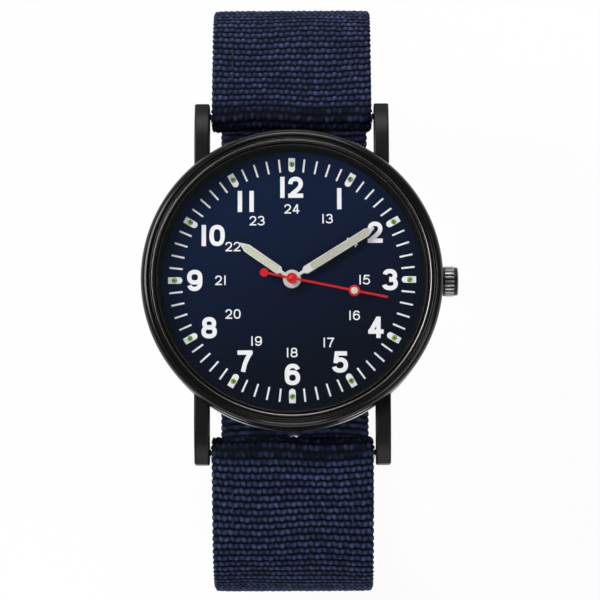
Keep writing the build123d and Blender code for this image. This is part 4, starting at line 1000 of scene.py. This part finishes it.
def webbing(
    node, path, half_width, thickness, seed, width_at=None, openings=(),
    across=Vector((1, 0, 0)), closed=False, painted_shade_at=None,
):
    """Woven band along a path, with ribs across it and beads along each rib."""
    sizes = bpy.context.scene.watch_sizes
    draw = random.Random(seed)
    ribs = round(path.length / in_mm(sizes.rib_spacing))
    beads = round(2 * half_width / in_mm(sizes.bead_spacing))
    rows = ribs * RIB_ROWS
    fine = beads * BEAD_COLUMNS
    section = [(-1 + 2 * step / fine, 1) for step in range(fine + 1)]
    section += [(1 - 2 * step / beads, -1) for step in range(1, beads + 1)]
    columns = len(section) - 1
    depth = in_mm(sizes.weave_depth)
    scallop = in_mm(sizes.edge_scallop)
    jitter = [[draw.uniform(-1, 1) for _ in range(beads + 2)] for _ in range(ribs + 2)]
    sway = [draw.uniform(0, math.tau) for _ in range(3)]
    spots = {}

    def place(row, column):
        share, side = section[column]
        phase = row / RIB_ROWS
        odd = int(phase) % 2
        reach = path.length * row / rows
        limit = half_width if width_at is None else width_at(reach)
        rib = (0.5 - 0.5 * math.cos(math.tau * phase)) ** RIB_POWER
        slot = (share + 1) / 2 * beads + odd / BEAD_COLUMNS
        bead = (0.5 - 0.5 * math.cos(math.tau * slot)) ** BEAD_POWER if side > 0 else INNER_BEAD
        tone = jitter[int(phase)][int(slot)]
        height = rib * (1 - BEAD_SHARE + BEAD_SHARE * bead) * (RIB_LEVELS[odd] + TONE_SHARE * tone)
        edge = abs(share) ** EDGE_POWER
        flank = thickness / 2 * max(1 - edge, 0.0) ** FLANK_POWER
        across_place = share * (half_width - scallop * (1 - rib) * edge)
        if abs(across_place) > limit:
            across_place = math.copysign(limit, across_place)
        ends = 1.0 if closed else min(reach, path.length - reach, FREE_END) / FREE_END
        sideways = BEAD_SWAY * math.sin(math.pi * slot + sway[2]) + BEAD_JITTER * tone * bead * (1 - edge)
        for (size, span, run), start in zip(SWAYS, sway):
            sideways += size * math.sin(across_place / span + reach / run + start)
        here, normal = path.at(reach + (0.0 if closed else ends * sideways))
        fall = depth * (1 - height) * flank / (thickness / 2)
        # The painted shade is taken off the bead's random tone.
        if painted_shade_at is not None:
            tone -= painted_shade_at(reach, across_place, side)
        spots[(row, column)] = (reach, across_place, height, tone)
        return here + across * across_place + normal * side * (flank - fall)

    mesh_data = bmesh.new()
    # The weave layer's heights give the painted shade in the gaps, and the tone layer holds each bead's
    # random tone less the painted shade.
    weave = mesh_data.verts.layers.float.new("weave")
    tones = mesh_data.verts.layers.float.new("tone")
    maps = mesh_data.loops.layers.uv.new("weave_map")
    cells = grid_points(mesh_data, rows, columns, place)
    for vert, cell in cells.items():
        vert[weave] = spots[cell][2]
        vert[tones] = spots[cell][3]
    doomed = []
    for face in mesh_data.faces:
        seen = [spots[cells[loop.vert]] for loop in face.loops]
        for loop, spot in zip(face.loops, seen):
            loop[maps].uv = (spot[0] * MM, spot[1] * MM)
        reach = sum(spot[0] for spot in seen) / len(seen)
        offset = sum(spot[1] for spot in seen) / len(seen)
        if any(inside_opening(reach, offset, opening) for opening in openings):
            doomed.append(face)
    join_seam(mesh_data)
    if not closed:
        close_ends(mesh_data)
    doomed = [face for face in doomed if face.is_valid]
    if doomed:
        bmesh.ops.delete(mesh_data, geom=doomed, context="FACES")
    return node_piece(node, mesh_data, "navy_webbing", sharp=WEAVE_SMOOTH_ANGLE, weighted=False)


def add_rim(mesh_data, path, centre, half_length, half_width):
    """Adds the sealed edge round an opening of the strap."""
    straight = half_length - half_width
    half = STRAP_THICKNESS / 2 + RIM_PROUD
    nib = RIM_CORNER * RIM_NIB
    upper = [
        (0, half - RIM_CORNER), (nib, half - nib), (RIM_CORNER, half),
        (RIM_BAND - RIM_CORNER, half - RIM_FALL), (RIM_BAND, half - RIM_CORNER),
    ]
    section = upper + [(out, -height) for out, height in reversed(upper)]

    def place(row, column):
        angle = math.tau * row / RIM_STEPS
        out, height = section[column % len(section)]
        shift = straight * max(-1.0, min(1.0, RIM_STRETCH * math.cos(angle)))
        reach = centre + shift + (half_width + out) * math.cos(angle)
        here, normal = path.at(reach)
        return here + Vector(((half_width + out) * math.sin(angle), 0, 0)) + normal * height

    grid_points(mesh_data, RIM_STEPS, len(section), place)
    bmesh.ops.remove_doubles(mesh_data, verts=mesh_data.verts, dist=SEAM_REACH * MM)


def add_stitch(mesh_data, start, end):
    """Adds one stitch of thread between two places."""
    radius = bpy.context.scene.watch_sizes.stitch_radius
    middle = (start + end) / 2 * MM
    line = end - start
    turn = line.to_track_quat("Z", "Y").to_matrix().to_4x4()
    scale = Matrix.Diagonal((radius, radius, line.length / 2 * MM, 1))
    bmesh.ops.create_icosphere(
        mesh_data, subdivisions=2, radius=1.0, matrix=Matrix.Translation(middle) @ turn @ scale
    )


def seam_along(mesh_data, path, reaches, across):
    """Adds stitches along the strap on its outer face."""
    length = in_mm(bpy.context.scene.watch_sizes.stitch_length)
    for reach in reaches:
        ends = []
        for spot in (reach - length / 2, reach + length / 2):
            here, normal = path.at(spot)
            ends.append(here + Vector((across, 0, 0)) + normal * (STRAP_THICKNESS / 2 - STITCH_SINK))
        add_stitch(mesh_data, *ends)


def seam_across(mesh_data, path, reach):
    """Adds a row of stitches across the strap on its outer face."""
    length = in_mm(bpy.context.scene.watch_sizes.stitch_length)
    half_span = STRAP_HALF_WIDTH - SEAM_MARGIN
    count = int(2 * half_span / (length + STITCH_GAP))
    pitch = 2 * half_span / count
    here, normal = path.at(reach)
    base = here + normal * (STRAP_THICKNESS / 2 - STITCH_SINK)
    for step in range(count):
        middle = -half_span + pitch * (step + 0.5)
        start = base + Vector((middle - length / 2, 0, 0))
        end = base + Vector((middle + length / 2, 0, 0))
        add_stitch(mesh_data, start, end)


# Numbers


def bowl(centre_x, centre_y, radius_x, radius_y, start, end, power=BOWL_POWER):
    """Points of a squarish arc from one angle to another."""
    steps = max(STROKE_LEAST_STEPS, round(abs(end - start) / STROKE_TURN))
    points = []
    for step in range(steps + 1):
        angle = math.radians(start + (end - start) * step / steps)
        flat_x = math.copysign(abs(math.cos(angle)) ** (2 / power), math.cos(angle))
        flat_y = math.copysign(abs(math.sin(angle)) ** (2 / power), math.sin(angle))
        points.append((centre_x + radius_x * flat_x, centre_y + radius_y * flat_y))
    return points


def digit_strokes(digit):
    """Strokes of a digit in a unit box, each as points and how far its two ends run on."""
    if digit == 9:
        return [
            ([(1 - x, 1 - y) for x, y in points], first, last)
            for points, first, last in digit_strokes(6)
        ]
    foot_of_two = [(0.93, 0.59), (0.8, 0.45), (0.5, 0.27), (0.22, 0.12), (0.08, 0.0)]
    return {
        0: [(bowl(0.5, 0.5, 0.5, 0.5, 0, 360, ZERO_POWER), 0, 0)],
        1: [([(0, 0), (0, 1)], 1, 1)],
        2: [
            (bowl(0.49, 0.7, 0.47, 0.3, 178, 0) + foot_of_two, 0.2, 0),
            ([(0, 0), (1, 0)], 0.9, 0.9),
        ],
        3: [
            (bowl(0.46, 0.745, 0.45, 0.255, 168, -90), 0, 0.3),
            (bowl(0.46, 0.265, 0.52, 0.265, 90, -168), 0.3, 0),
        ],
        4: [
            ([(0.74, 0), (0.74, 1)], 1, 1),
            ([(0.66, 0.98), (0.03, 0.26)], 0.6, 0.2),
            ([(0, 0.25), (1, 0.25)], 0.9, 1),
        ],
        5: [
            ([(0.2, 1), (0.92, 1)], 0.6, 0.9),
            ([(0.18, 1), (0.08, 0.46)], 0.9, 0.2),
            (bowl(0.46, 0.32, 0.53, 0.32, 140, -165), 0, 0),
        ],
        6: [
            (bowl(0.51, 0.31, 0.49, 0.31, 0, 360), 0, 0),
            (bowl(0.53, 0.57, 0.52, 0.43, 28, 180) + [(0.01, 0.45), (0.02, 0.31)], 0, 0),
        ],
        7: [
            ([(0, 1), (1, 1)], 0.9, 0.9),
            ([(0.97, 0.97), (0.72, 0.68), (0.5, 0.36), (0.36, 0)], 0.2, 1),
        ],
        8: [
            (bowl(0.5, 0.755, 0.43, 0.245, 0, 360), 0, 0),
            (bowl(0.5, 0.265, 0.5, 0.265, 0, 360), 0, 0),
        ],
    }[digit]


def ribbon(mesh_data, points, width, height, thickness):
    """Adds a flat stroke along points, closed if it ends where it starts."""
    closed = (points[0] - points[-1]).length < width * CLOSED_SHARE
    count = len(points) - 1

    def side_of(index):
        before = points[index - 1] if index else (points[-2] if closed else None)
        after = points[index + 1] if index < count else (points[1] if closed else None)
        ways = []
        if before is not None:
            ways.append((points[index] - before).normalized())
        if after is not None:
            ways.append((after - points[index]).normalized())
        way = sum(ways, Vector((0, 0))).normalized()
        stretch = 1 / max(way.dot(ways[0]), STROKE_MITRE)
        return Vector((-way.y, way.x)) * width / 2 * stretch

    def place(row, column):
        spot = points[row] + side_of(row) * (1 if column else -1)
        return Vector((spot.x, spot.y, height))

    cells = grid_points(mesh_data, count, 1, place)
    verts = list(cells)
    if closed:
        bmesh.ops.remove_doubles(mesh_data, verts=verts, dist=SEAM_REACH * MM)
        verts = [vert for vert in verts if vert.is_valid]
    faces = {face for vert in verts for face in vert.link_faces}
    lifted = bmesh.ops.extrude_face_region(mesh_data, geom=list(faces))["geom"]
    moved = [item for item in lifted if isinstance(item, bmesh.types.BMVert)]
    bmesh.ops.translate(mesh_data, verts=moved, vec=(0, 0, thickness * MM))


def add_number(mesh_data, number, centre, height, width, stroke, gap):
    """Adds an upright number, its digits side by side round a centre."""
    digits = [int(mark) for mark in str(number)]
    widths = [stroke if digit == 1 else width for digit in digits]
    left = centre.x - (sum(widths) + gap * (len(digits) - 1)) / 2
    for digit, digit_width in zip(digits, widths):
        low = centre.y - height / 2
        for level, (points, first, last) in enumerate(digit_strokes(digit)):
            spots = [
                Vector((
                    left + stroke / 2 + x * (digit_width - stroke),
                    low + stroke / 2 + y * (height - stroke),
                ))
                for x, y in points
            ]
            spots[0] += (spots[0] - spots[1]).normalized() * first * stroke / 2
            spots[-1] += (spots[-1] - spots[-2]).normalized() * last * stroke / 2
            top = PRINT_THICKNESS + level * PRINT_STEP
            ribbon(mesh_data, spots, stroke, DIAL_TOP, top)
        left += digit_width + gap


def clock_place(angle, reach):
    """Place on the dial at a clock angle in degrees."""
    turn = math.radians(angle)
    return Vector((math.sin(turn) * reach, math.cos(turn) * reach))


# Operators


class WATCH_OT_case(bpy.types.Operator):
    """Black case body with its four lugs, and the crown tube"""

    bl_idname = "watch.build_case"
    bl_label = "Case"

    def execute(self, context):
        body = merged_copy("case_body")
        break_edges(body, CASE_BREAK, 1, CASE_BREAK_ANGLE)
        for face in body.faces:
            middle = face.calc_center_median() / MM
            outward = Vector((middle.x, middle.y, 0)).normalized()
            round_wall = middle.xy.length > WALL_REACH and abs(middle.y) < WALL_HALF_SPAN
            if round_wall and face.normal.dot(outward) > WALL_FACING and middle.z < BEZEL_FOOT:
                face.material_index = 1
        node_piece("case_body", body, "case_satin", "case_side")
        refined("crown_tube", "movement_steel")
        return {"FINISHED"}


class WATCH_OT_bezel(bpy.types.Operator):
    """Bezel, crystal, crystal gasket and the sloping inner flange"""

    bl_idname = "watch.build_bezel"
    bl_label = "Bezel and crystal"

    def execute(self, context):
        ring = bmesh.new()
        turned(ring, rounded_profile(BEZEL_OUTLINE, BEZEL_CORNER), FINE_TURNED_STEPS)
        paint_faces(
            ring, 1,
            lambda reach, height, normal: reach < LIP_REACH and height > LIP_FOOT and normal.z > LIP_FACING,
        )
        node_piece("bezel", ring, "case_gloss", "lip_bright")
        flange = [
            (FLANGE_TOE, DIAL_TOP), (CRYSTAL_REACH, DIAL_TOP),
            (CRYSTAL_REACH, CRYSTAL_FOOT), (FLANGE_HEAD, CRYSTAL_FOOT),
        ]
        turned_piece("inner_flange", flange, "flange_satin", FLANGE_CORNER)
        gasket = [
            (GASKET_BORE, CRYSTAL_FOOT), (CRYSTAL_REACH, CRYSTAL_FOOT),
            (CRYSTAL_REACH, CRYSTAL_STEP), (GASKET_BORE, CRYSTAL_STEP),
        ]
        turned_piece("crystal_gasket", gasket, "gasket_rubber", GASKET_CORNER)
        glass = [
            (0, CRYSTAL_FOOT), (CRYSTAL_FOOT_REACH, CRYSTAL_FOOT), (CRYSTAL_FOOT_REACH, CRYSTAL_STEP),
            (CRYSTAL_REACH, CRYSTAL_STEP), (CRYSTAL_REACH, CRYSTAL_SHOULDER),
        ]
        for step in range(CRYSTAL_DOME_STEPS - 1, -1, -1):
            share = step / CRYSTAL_DOME_STEPS
            fall = (CRYSTAL_TOP - CRYSTAL_SHOULDER) * share ** 2
            glass.append((CRYSTAL_REACH * share, CRYSTAL_TOP - fall))
        crystal = bmesh.new()
        turned(crystal, glass, FINE_TURNED_STEPS)
        paint_faces(
            crystal, 1, lambda reach, height, normal: reach > BLACK_EDGE_REACH and height < BLACK_EDGE_TOP
        )
        node_piece(
            "crystal", crystal, "crystal_glass", "gasket_rubber", sharp=CRYSTAL_SMOOTH_ANGLE, weighted=False
        )
        return {"FINISHED"}


class WATCH_OT_case_back(bpy.types.Operator):
    """Polished steel case back and its gasket"""

    bl_idname = "watch.build_case_back"
    bl_label = "Case back"

    def execute(self, context):
        back = merged_copy("case_back")
        break_edges(back, BACK_BREAK, sharp=CASE_BREAK_ANGLE)
        turned(back, rounded_profile(LEDGE_OUTLINE, LEDGE_CORNER), FINE_TURNED_STEPS)
        node_piece("case_back", back, "steel_turned")
        refine_all(BACK_PIECES)
        return {"FINISHED"}


class WATCH_OT_dial(bpy.types.Operator):
    """Dial with its markers, dots, minute track and numbers"""

    bl_idname = "watch.build_dial"
    bl_label = "Dial"

    def execute(self, context):
        sizes = context.scene.watch_sizes
        refine_all(DIAL_PIECES)
        spots = [clock_place(hour * HOUR_TURN, DOT_REACH) for hour in range(12)]
        dots = bmesh.new()
        for spot in spots:
            turned(dots, DOT_OUTLINE, DOT_STEPS, spot, MARKER_TOP)
        for face in dots.faces:
            middle = face.calc_center_median().xy / MM
            if min((middle - spot).length for spot in spots) < DOT_PIT_RADIUS:
                face.material_index = 1
        node_piece("marker_dots", dots, "dot_green", "dot_centre")
        numbers = bmesh.new()
        for number, reach in HOUR_REACHES.items():
            gap = ELEVEN_GAP if number == 11 else HOUR_DIGIT_GAP
            add_number(
                numbers, number, clock_place(number * HOUR_TURN, reach), in_mm(sizes.hour_height),
                HOUR_DIGIT_WIDTH, HOUR_STROKE, gap,
            )
        for number, reach in SMALL_REACHES.items():
            gap = SMALL_DIGIT_GAP + (SMALL_ONE_SPACE if "1" in str(number) else 0.0)
            spot = clock_place(number * HOUR_TURN + SMALL_TURNS.get(number, 0), reach)
            add_number(
                numbers, number, spot, in_mm(sizes.small_height), SMALL_DIGIT_WIDTH, SMALL_STROKE, gap
            )
        extra_piece("dial_numbers", numbers, "white_print", "marking_white", weighted=False)
        return {"FINISHED"}


class WATCH_OT_hands(bpy.types.Operator):
    """Hour, minute and second hands with their lume"""

    bl_idname = "watch.build_hands"
    bl_label = "Hands"

    def execute(self, context):
        for hand, finish, bevel, segments, lume in (
            ("hour_hand", "hand_silver", HAND_BREAK, 1, "lume_paste"),
            ("minute_hand", "hand_silver", HAND_BREAK, 1, "lume_grey"),
            ("second_hand", "second_red", SECOND_HAND_BREAK, 2, "lume_paste"),
        ):
            level = HAND_BREAK_LEVELS[hand] * MM
            refined(
                hand, finish, bevel, segments,
                lambda edge, level=level: all(vert.co.z > level for vert in edge.verts),
            )
            refined(hand + "_lume", lume, LUME_BREAK)
        cap = bmesh.new()
        turned(cap, CAP_OUTLINE, CAP_STEPS, height=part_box("second_hand")[1].z / MM)
        extra_piece("second_hand_cap", cap, "second_red", "second_red", "second_body")
        return {"FINISHED"}


class WATCH_OT_crown(bpy.types.Operator):
    """Crown, its gasket, the stem, the sliding pinion and the setting lever"""

    bl_idname = "watch.build_crown"
    bl_label = "Crown and stem"

    def execute(self, context):
        crown = merged_copy("crown")
        break_edges(crown, CROWN_BREAK, sharp=CROWN_BREAK_ANGLE)
        low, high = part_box("crown")
        # Painted shade: the hollows of the flutes and the root next to the case get the dark finish.
        for face in crown.faces:
            middle = face.calc_center_median()
            reach = math.hypot(middle.y, middle.z - (low.z + high.z) / 2)
            hollow = reach < CROWN_HOLLOW_RADIUS * MM and abs(face.normal.x) < CROWN_HOLLOW_FACING
            if hollow or middle.x < low.x + CROWN_ROOT * MM:
                face.material_index = 1
        node_piece("crown", crown, "crown_metal", "crown_painted_shade")
        refine_all(CROWN_PIECES)
        return {"FINISHED"}


class WATCH_OT_plates(bpy.types.Operator):
    """Main plate, movement ring, train bridge and their screws"""

    bl_idname = "watch.build_plates"
    bl_label = "Plates"

    def execute(self, context):
        refine_all(PLATE_PIECES)
        return {"FINISHED"}


class WATCH_OT_train(bpy.types.Operator):
    """Wheels and pinions that turn the hands"""

    bl_idname = "watch.build_train"
    bl_label = "Wheels"

    def execute(self, context):
        refine_all(TRAIN_PIECES)
        return {"FINISHED"}


class WATCH_OT_drive(bpy.types.Operator):
    """Rotor, stator, coil core and the copper winding"""

    bl_idname = "watch.build_drive"
    bl_label = "Drive"

    def execute(self, context):
        refine_all(DRIVE_PIECES)
        low, high = (Vector(corner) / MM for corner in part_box("coil_winding"))
        size = high - low
        centre = (low + high) / 2
        rows = round(size.y / WIRE_PITCH) * WIRE_ROWS
        corners = [
            (-size.x / 2, -size.z / 2), (size.x / 2, -size.z / 2),
            (size.x / 2, size.z / 2), (-size.x / 2, size.z / 2),
        ]
        outline = rounded_profile(corners, WINDING_CORNER, WINDING_CORNER_STEPS)

        def place(row, column):
            spot = outline[column % len(outline)]
            groove = WIRE_GROOVE * (0.5 + 0.5 * math.cos(math.tau * row / WIRE_ROWS))
            spot = spot * (1 - groove / spot.length)
            return Vector((centre.x + spot.x, low.y + size.y * row / rows, centre.z + spot.y))

        winding = bmesh.new()
        grid_points(winding, rows, len(outline), place)
        join_seam(winding)
        close_ends(winding)
        node_piece("coil_winding", winding, "winding_copper", sharp=WINDING_SMOOTH_ANGLE)
        return {"FINISHED"}


class WATCH_OT_circuit(bpy.types.Operator):
    """Battery, its clamp, the circuit board, the quartz can and the driver chip"""

    bl_idname = "watch.build_circuit"
    bl_label = "Battery and circuit"

    def execute(self, context):
        refine_all(CIRCUIT_PIECES)
        tracks = bmesh.new()
        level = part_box("circuit_board")[0].z / MM
        for reach, start, end in TRACKS:
            points = []
            for step in range(TRACK_STEPS + 1):
                angle = math.radians(start + (end - start) * step / TRACK_STEPS)
                points.append(Vector((math.cos(angle) * reach, math.sin(angle) * reach)))
            ribbon(tracks, points, TRACK_WIDTH, level - TRACK_THICKNESS, TRACK_THICKNESS)
            for point in (points[0], points[-1]):
                turned(tracks, PAD_OUTLINE, PAD_STEPS, point, level)
        extra_piece("board_tracks", tracks, "winding_copper", "winding_copper")
        return {"FINISHED"}


class WATCH_OT_spring_bars(bpy.types.Operator):
    """Spring bars that hold the strap between the lugs"""

    bl_idname = "watch.build_spring_bars"
    bl_label = "Spring bars"

    def execute(self, context):
        for end in ("upper", "lower"):
            refined(end + "_bar_barrel", "movement_steel", BARREL_BREAK)
            low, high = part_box(end + "_bar_spring")
            middle = (low + high) / 2
            for side, turn in (("right", 1), ("left", -1)):
                refined(end + "_bar_" + side + "_tip", "case_gloss", TIP_BREAK)
                half = merged_copy(end + "_bar_spring")
                bmesh.ops.bisect_plane(
                    half, geom=half.verts[:] + half.edges[:] + half.faces[:], plane_co=middle,
                    plane_no=(-turn, 0, 0), clear_outer=True,
                )
                close_ends(half)
                spring = finish_piece(
                    "visual_" + end + "_bar_spring_" + side, half, ["movement_steel"],
                    [end + "_bar_spring"],
                )
                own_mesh(spring)
        return {"FINISHED"}


class WATCH_OT_strap(bpy.types.Operator):
    """Woven strap halves with their seams and sealed holes"""

    bl_idname = "watch.build_strap"
    bl_label = "Strap"

    def execute(self, context):
        upper, lower = strap_paths()
        bar_end = upper.pieces[SHOULDER_RUN][0]
        inset = STRAP_HALF_WIDTH - STITCH_MARGIN

        def tail_width(reach):
            gap = lower.length - reach
            if gap >= TAIL_ROUND:
                return STRAP_HALF_WIDTH
            inner = STRAP_HALF_WIDTH - TAIL_ROUND
            return inner + math.sqrt(max(TAIL_ROUND ** 2 - (TAIL_ROUND - gap) ** 2, 0.0))

        # Painted shade, taken off the tone: all of the inner face, the folds round the bars and the puckers
        # by the first main stitches.
        def fold_shade(reach, offset, side):
            if side < 0:
                return INNER_PAINTED_SHADE
            quarter = WRAP_RADIUS * math.pi / 2
            past = max(bar_end - FOLD_QUARTERS * quarter - reach, reach - bar_end, 0.0) / FOLD_FADE
            near = math.hypot(reach - bar_end - PUCKER_REACH, abs(offset) - inset) / PUCKER_RADIUS
            return FOLD_PAINTED_SHADE * max(1 - past, 0.0) + PUCKER_PAINTED_SHADE * max(1 - near, 0.0)

        def widened(opening):
            centre, half_length, half_width = opening
            return centre, half_length + RIM_BAND * RIM_OVERLAP, half_width + RIM_BAND * RIM_OVERLAP

        flat_start = lower.length - FLAT_SPAN
        holes = [
            (lower.nearest(reach, flat_start), HOLE_RADIUS, HOLE_RADIUS) for reach in HOLE_REACHES
        ]
        holes.append((lower.nearest(SLOT_REACH, flat_start), SLOT_HALF_LENGTH, SLOT_HALF_WIDTH))
        pin, wrap = upper.pieces[PIN_WRAP_RUN][:2]
        notch_start = pin - (NOTCH_REACH - PIN_REACH)
        notch_end = pin + wrap + (NOTCH_REACH - PIN_REACH) + NOTCH_OVERRUN
        notch = ((notch_start + notch_end) / 2, (notch_end - notch_start) / 2, NOTCH_HALF_WIDTH)
        webbing(
            "strap_lower", lower, STRAP_HALF_WIDTH, STRAP_THICKNESS, LOWER_SEED, tail_width,
            [widened(hole) for hole in holes], painted_shade_at=fold_shade,
        )
        webbing(
            "strap_upper", upper, STRAP_HALF_WIDTH, STRAP_THICKNESS, UPPER_SEED,
            openings=[widened(notch)], painted_shade_at=fold_shade,
        )
        rims = bmesh.new()
        for hole in holes:
            add_rim(rims, lower, *hole)
        add_rim(rims, upper, *notch)
        extra_piece("strap_sealed_edges", rims, "sealed_edge", "strap_navy")
        seams = bmesh.new()
        for path in (upper, lower):
            for across in (inset, -inset):
                seam_along(seams, path, LAP_STITCHES, across)
                seam_along(seams, path, [bar_end + gap for gap in MAIN_STITCHES], across)
        for gap in PIN_LAP_SEAMS:
            seam_across(seams, upper, upper.length - gap)
        for gap in PIN_MAIN_SEAMS:
            seam_across(seams, upper, pin - gap)
        extra_piece("strap_seams", seams, "navy_thread", "strap_navy", weighted=False)
        return {"FINISHED"}


class WATCH_OT_keepers(bpy.types.Operator):
    """Fixed and sliding woven keepers"""

    bl_idname = "watch.build_keepers"
    bl_label = "Keepers"

    def execute(self, context):
        for node, (start, top, seed) in KEEPERS.items():
            path = LoopPath(start + KEEPER_WIDTH / 2, KEEPER_BOTTOM, top)
            webbing(
                node, path, KEEPER_WIDTH / 2, KEEPER_THICKNESS, seed, across=Vector((0, 1, 0)), closed=True
            )
        return {"FINISHED"}


class WATCH_OT_buckle(bpy.types.Operator):
    """Buckle frame, pin and tongue"""

    bl_idname = "watch.build_buckle"
    bl_label = "Buckle"

    def execute(self, context):
        refine_all(BUCKLE_PIECES)
        return {"FINISHED"}


def make_floor():
    """White floor under the strap."""
    ground = bmesh.new()
    bmesh.ops.create_grid(ground, x_segments=2, y_segments=2, size=FLOOR_REACH)
    bmesh.ops.translate(ground, verts=ground.verts, vec=(0, 0, FLOOR_LEVEL * MM))
    mesh = bpy.data.meshes.new("floor")
    ground.to_mesh(mesh)
    ground.free()
    mesh.materials.append(material_of("white_floor"))
    floor = bpy.data.objects.new("floor", mesh)
    bpy.context.scene.collection.objects.link(floor)
    return floor


def make_lamp(name, place, size, power):
    """Square lamp that faces the watch."""
    data = bpy.data.lights.new(name, "AREA")
    data.shape = "SQUARE"
    data.size = size
    data.energy = power
    lamp = bpy.data.objects.new(name, data)
    bpy.context.scene.collection.objects.link(lamp)
    lamp.location = place
    lamp.rotation_euler = (-Vector(place)).to_track_quat("-Z", "Y").to_euler()
    return lamp


def make_world():
    """Room that looks white and lights little."""
    world = bpy.data.worlds.new("white_room")
    world.use_nodes = True
    tree = world.node_tree
    room = tree.nodes["Background"]
    room.inputs["Color"].default_value = (1, 1, 1, 1)
    path = add_node(tree, "ShaderNodeLightPath")
    strength = spread_value(tree, path.outputs["Is Camera Ray"], ROOM_LIGHT, 1.0, 0, 1)
    tree.links.new(strength, room.inputs["Strength"])
    return world


def make_camera():
    """Camera at the photograph's view."""
    tilt = math.radians(CAMERA_TILT)
    side = math.radians(CAMERA_SIDE)
    data = bpy.data.cameras.new("camera")
    data.lens = SENSOR_WIDTH * CAMERA_DISTANCE / VIEW_WIDTH
    data.clip_start, data.clip_end = CAMERA_CLIP
    camera = bpy.data.objects.new("camera", data)
    bpy.context.scene.collection.objects.link(camera)
    back_way = Vector((math.sin(side), -math.sin(tilt), math.cos(tilt))).normalized()
    camera.location = (Vector(CAMERA_TARGET) + back_way * CAMERA_DISTANCE) * MM
    right = (Vector((1, 0, 0)) - back_way * back_way.x).normalized()
    turn = Matrix((right, back_way.cross(right), back_way)).transposed()
    turn @= Matrix.Rotation(-math.radians(CAMERA_ROLL), 3, "Z")
    camera.rotation_euler = turn.to_euler()
    return camera


class WATCH_OT_stage(bpy.types.Operator):
    """White floor, soft lamps, world and camera"""

    bl_idname = "watch.build_stage"
    bl_label = "Stage"

    def execute(self, context):
        scene = context.scene
        camera = make_camera()
        scene.camera = camera
        scene.world = make_world()
        make_floor()
        [make_lamp(*lamp) for lamp in LAMPS]
        scene.view_settings.view_transform = "Standard"
        return {"FINISHED"}


OPERATORS = (
    WATCH_OT_case, WATCH_OT_bezel, WATCH_OT_case_back, WATCH_OT_dial, WATCH_OT_hands, WATCH_OT_crown,
    WATCH_OT_plates, WATCH_OT_train, WATCH_OT_drive, WATCH_OT_circuit, WATCH_OT_spring_bars,
    WATCH_OT_strap, WATCH_OT_keepers, WATCH_OT_buckle, WATCH_OT_stage,
)


class WATCH_PT_panel(bpy.types.Panel):
    """Lists the pieces of the watch with their sizes and colours"""

    bl_idname = "WATCH_PT_panel"
    bl_label = "Field watch"
    bl_space_type = "VIEW_3D"
    bl_region_type = "UI"
    bl_category = "Watch"

    def draw(self, context):
        layout = self.layout
        for group in (context.scene.watch_sizes, context.scene.watch_colours):
            column = layout.column(align=True)
            for key in group.__annotations__:
                column.prop(group, key)
        column = layout.column(align=True)
        for operator in OPERATORS:
            column.operator(operator.bl_idname)


CLASSES = (WatchSizes, WatchColours, *OPERATORS, WATCH_PT_panel)


def register():
    """Registers the classes and their settings."""
    for item in CLASSES:
        bpy.utils.register_class(item)
    bpy.types.Scene.watch_sizes = PointerProperty(type=WatchSizes)
    bpy.types.Scene.watch_colours = PointerProperty(type=WatchColours)


def unregister():
    """Removes the settings and classes again."""
    del bpy.types.Scene.watch_colours
    del bpy.types.Scene.watch_sizes
    for item in reversed(CLASSES):
        bpy.utils.unregister_class(item)


def main():
    """Builds the watch and its stage."""
    register()
    for operator in OPERATORS:
        group, call = operator.bl_idname.split(".")
        getattr(getattr(bpy.ops, group), call)()


if __name__ == "__main__":
    main()
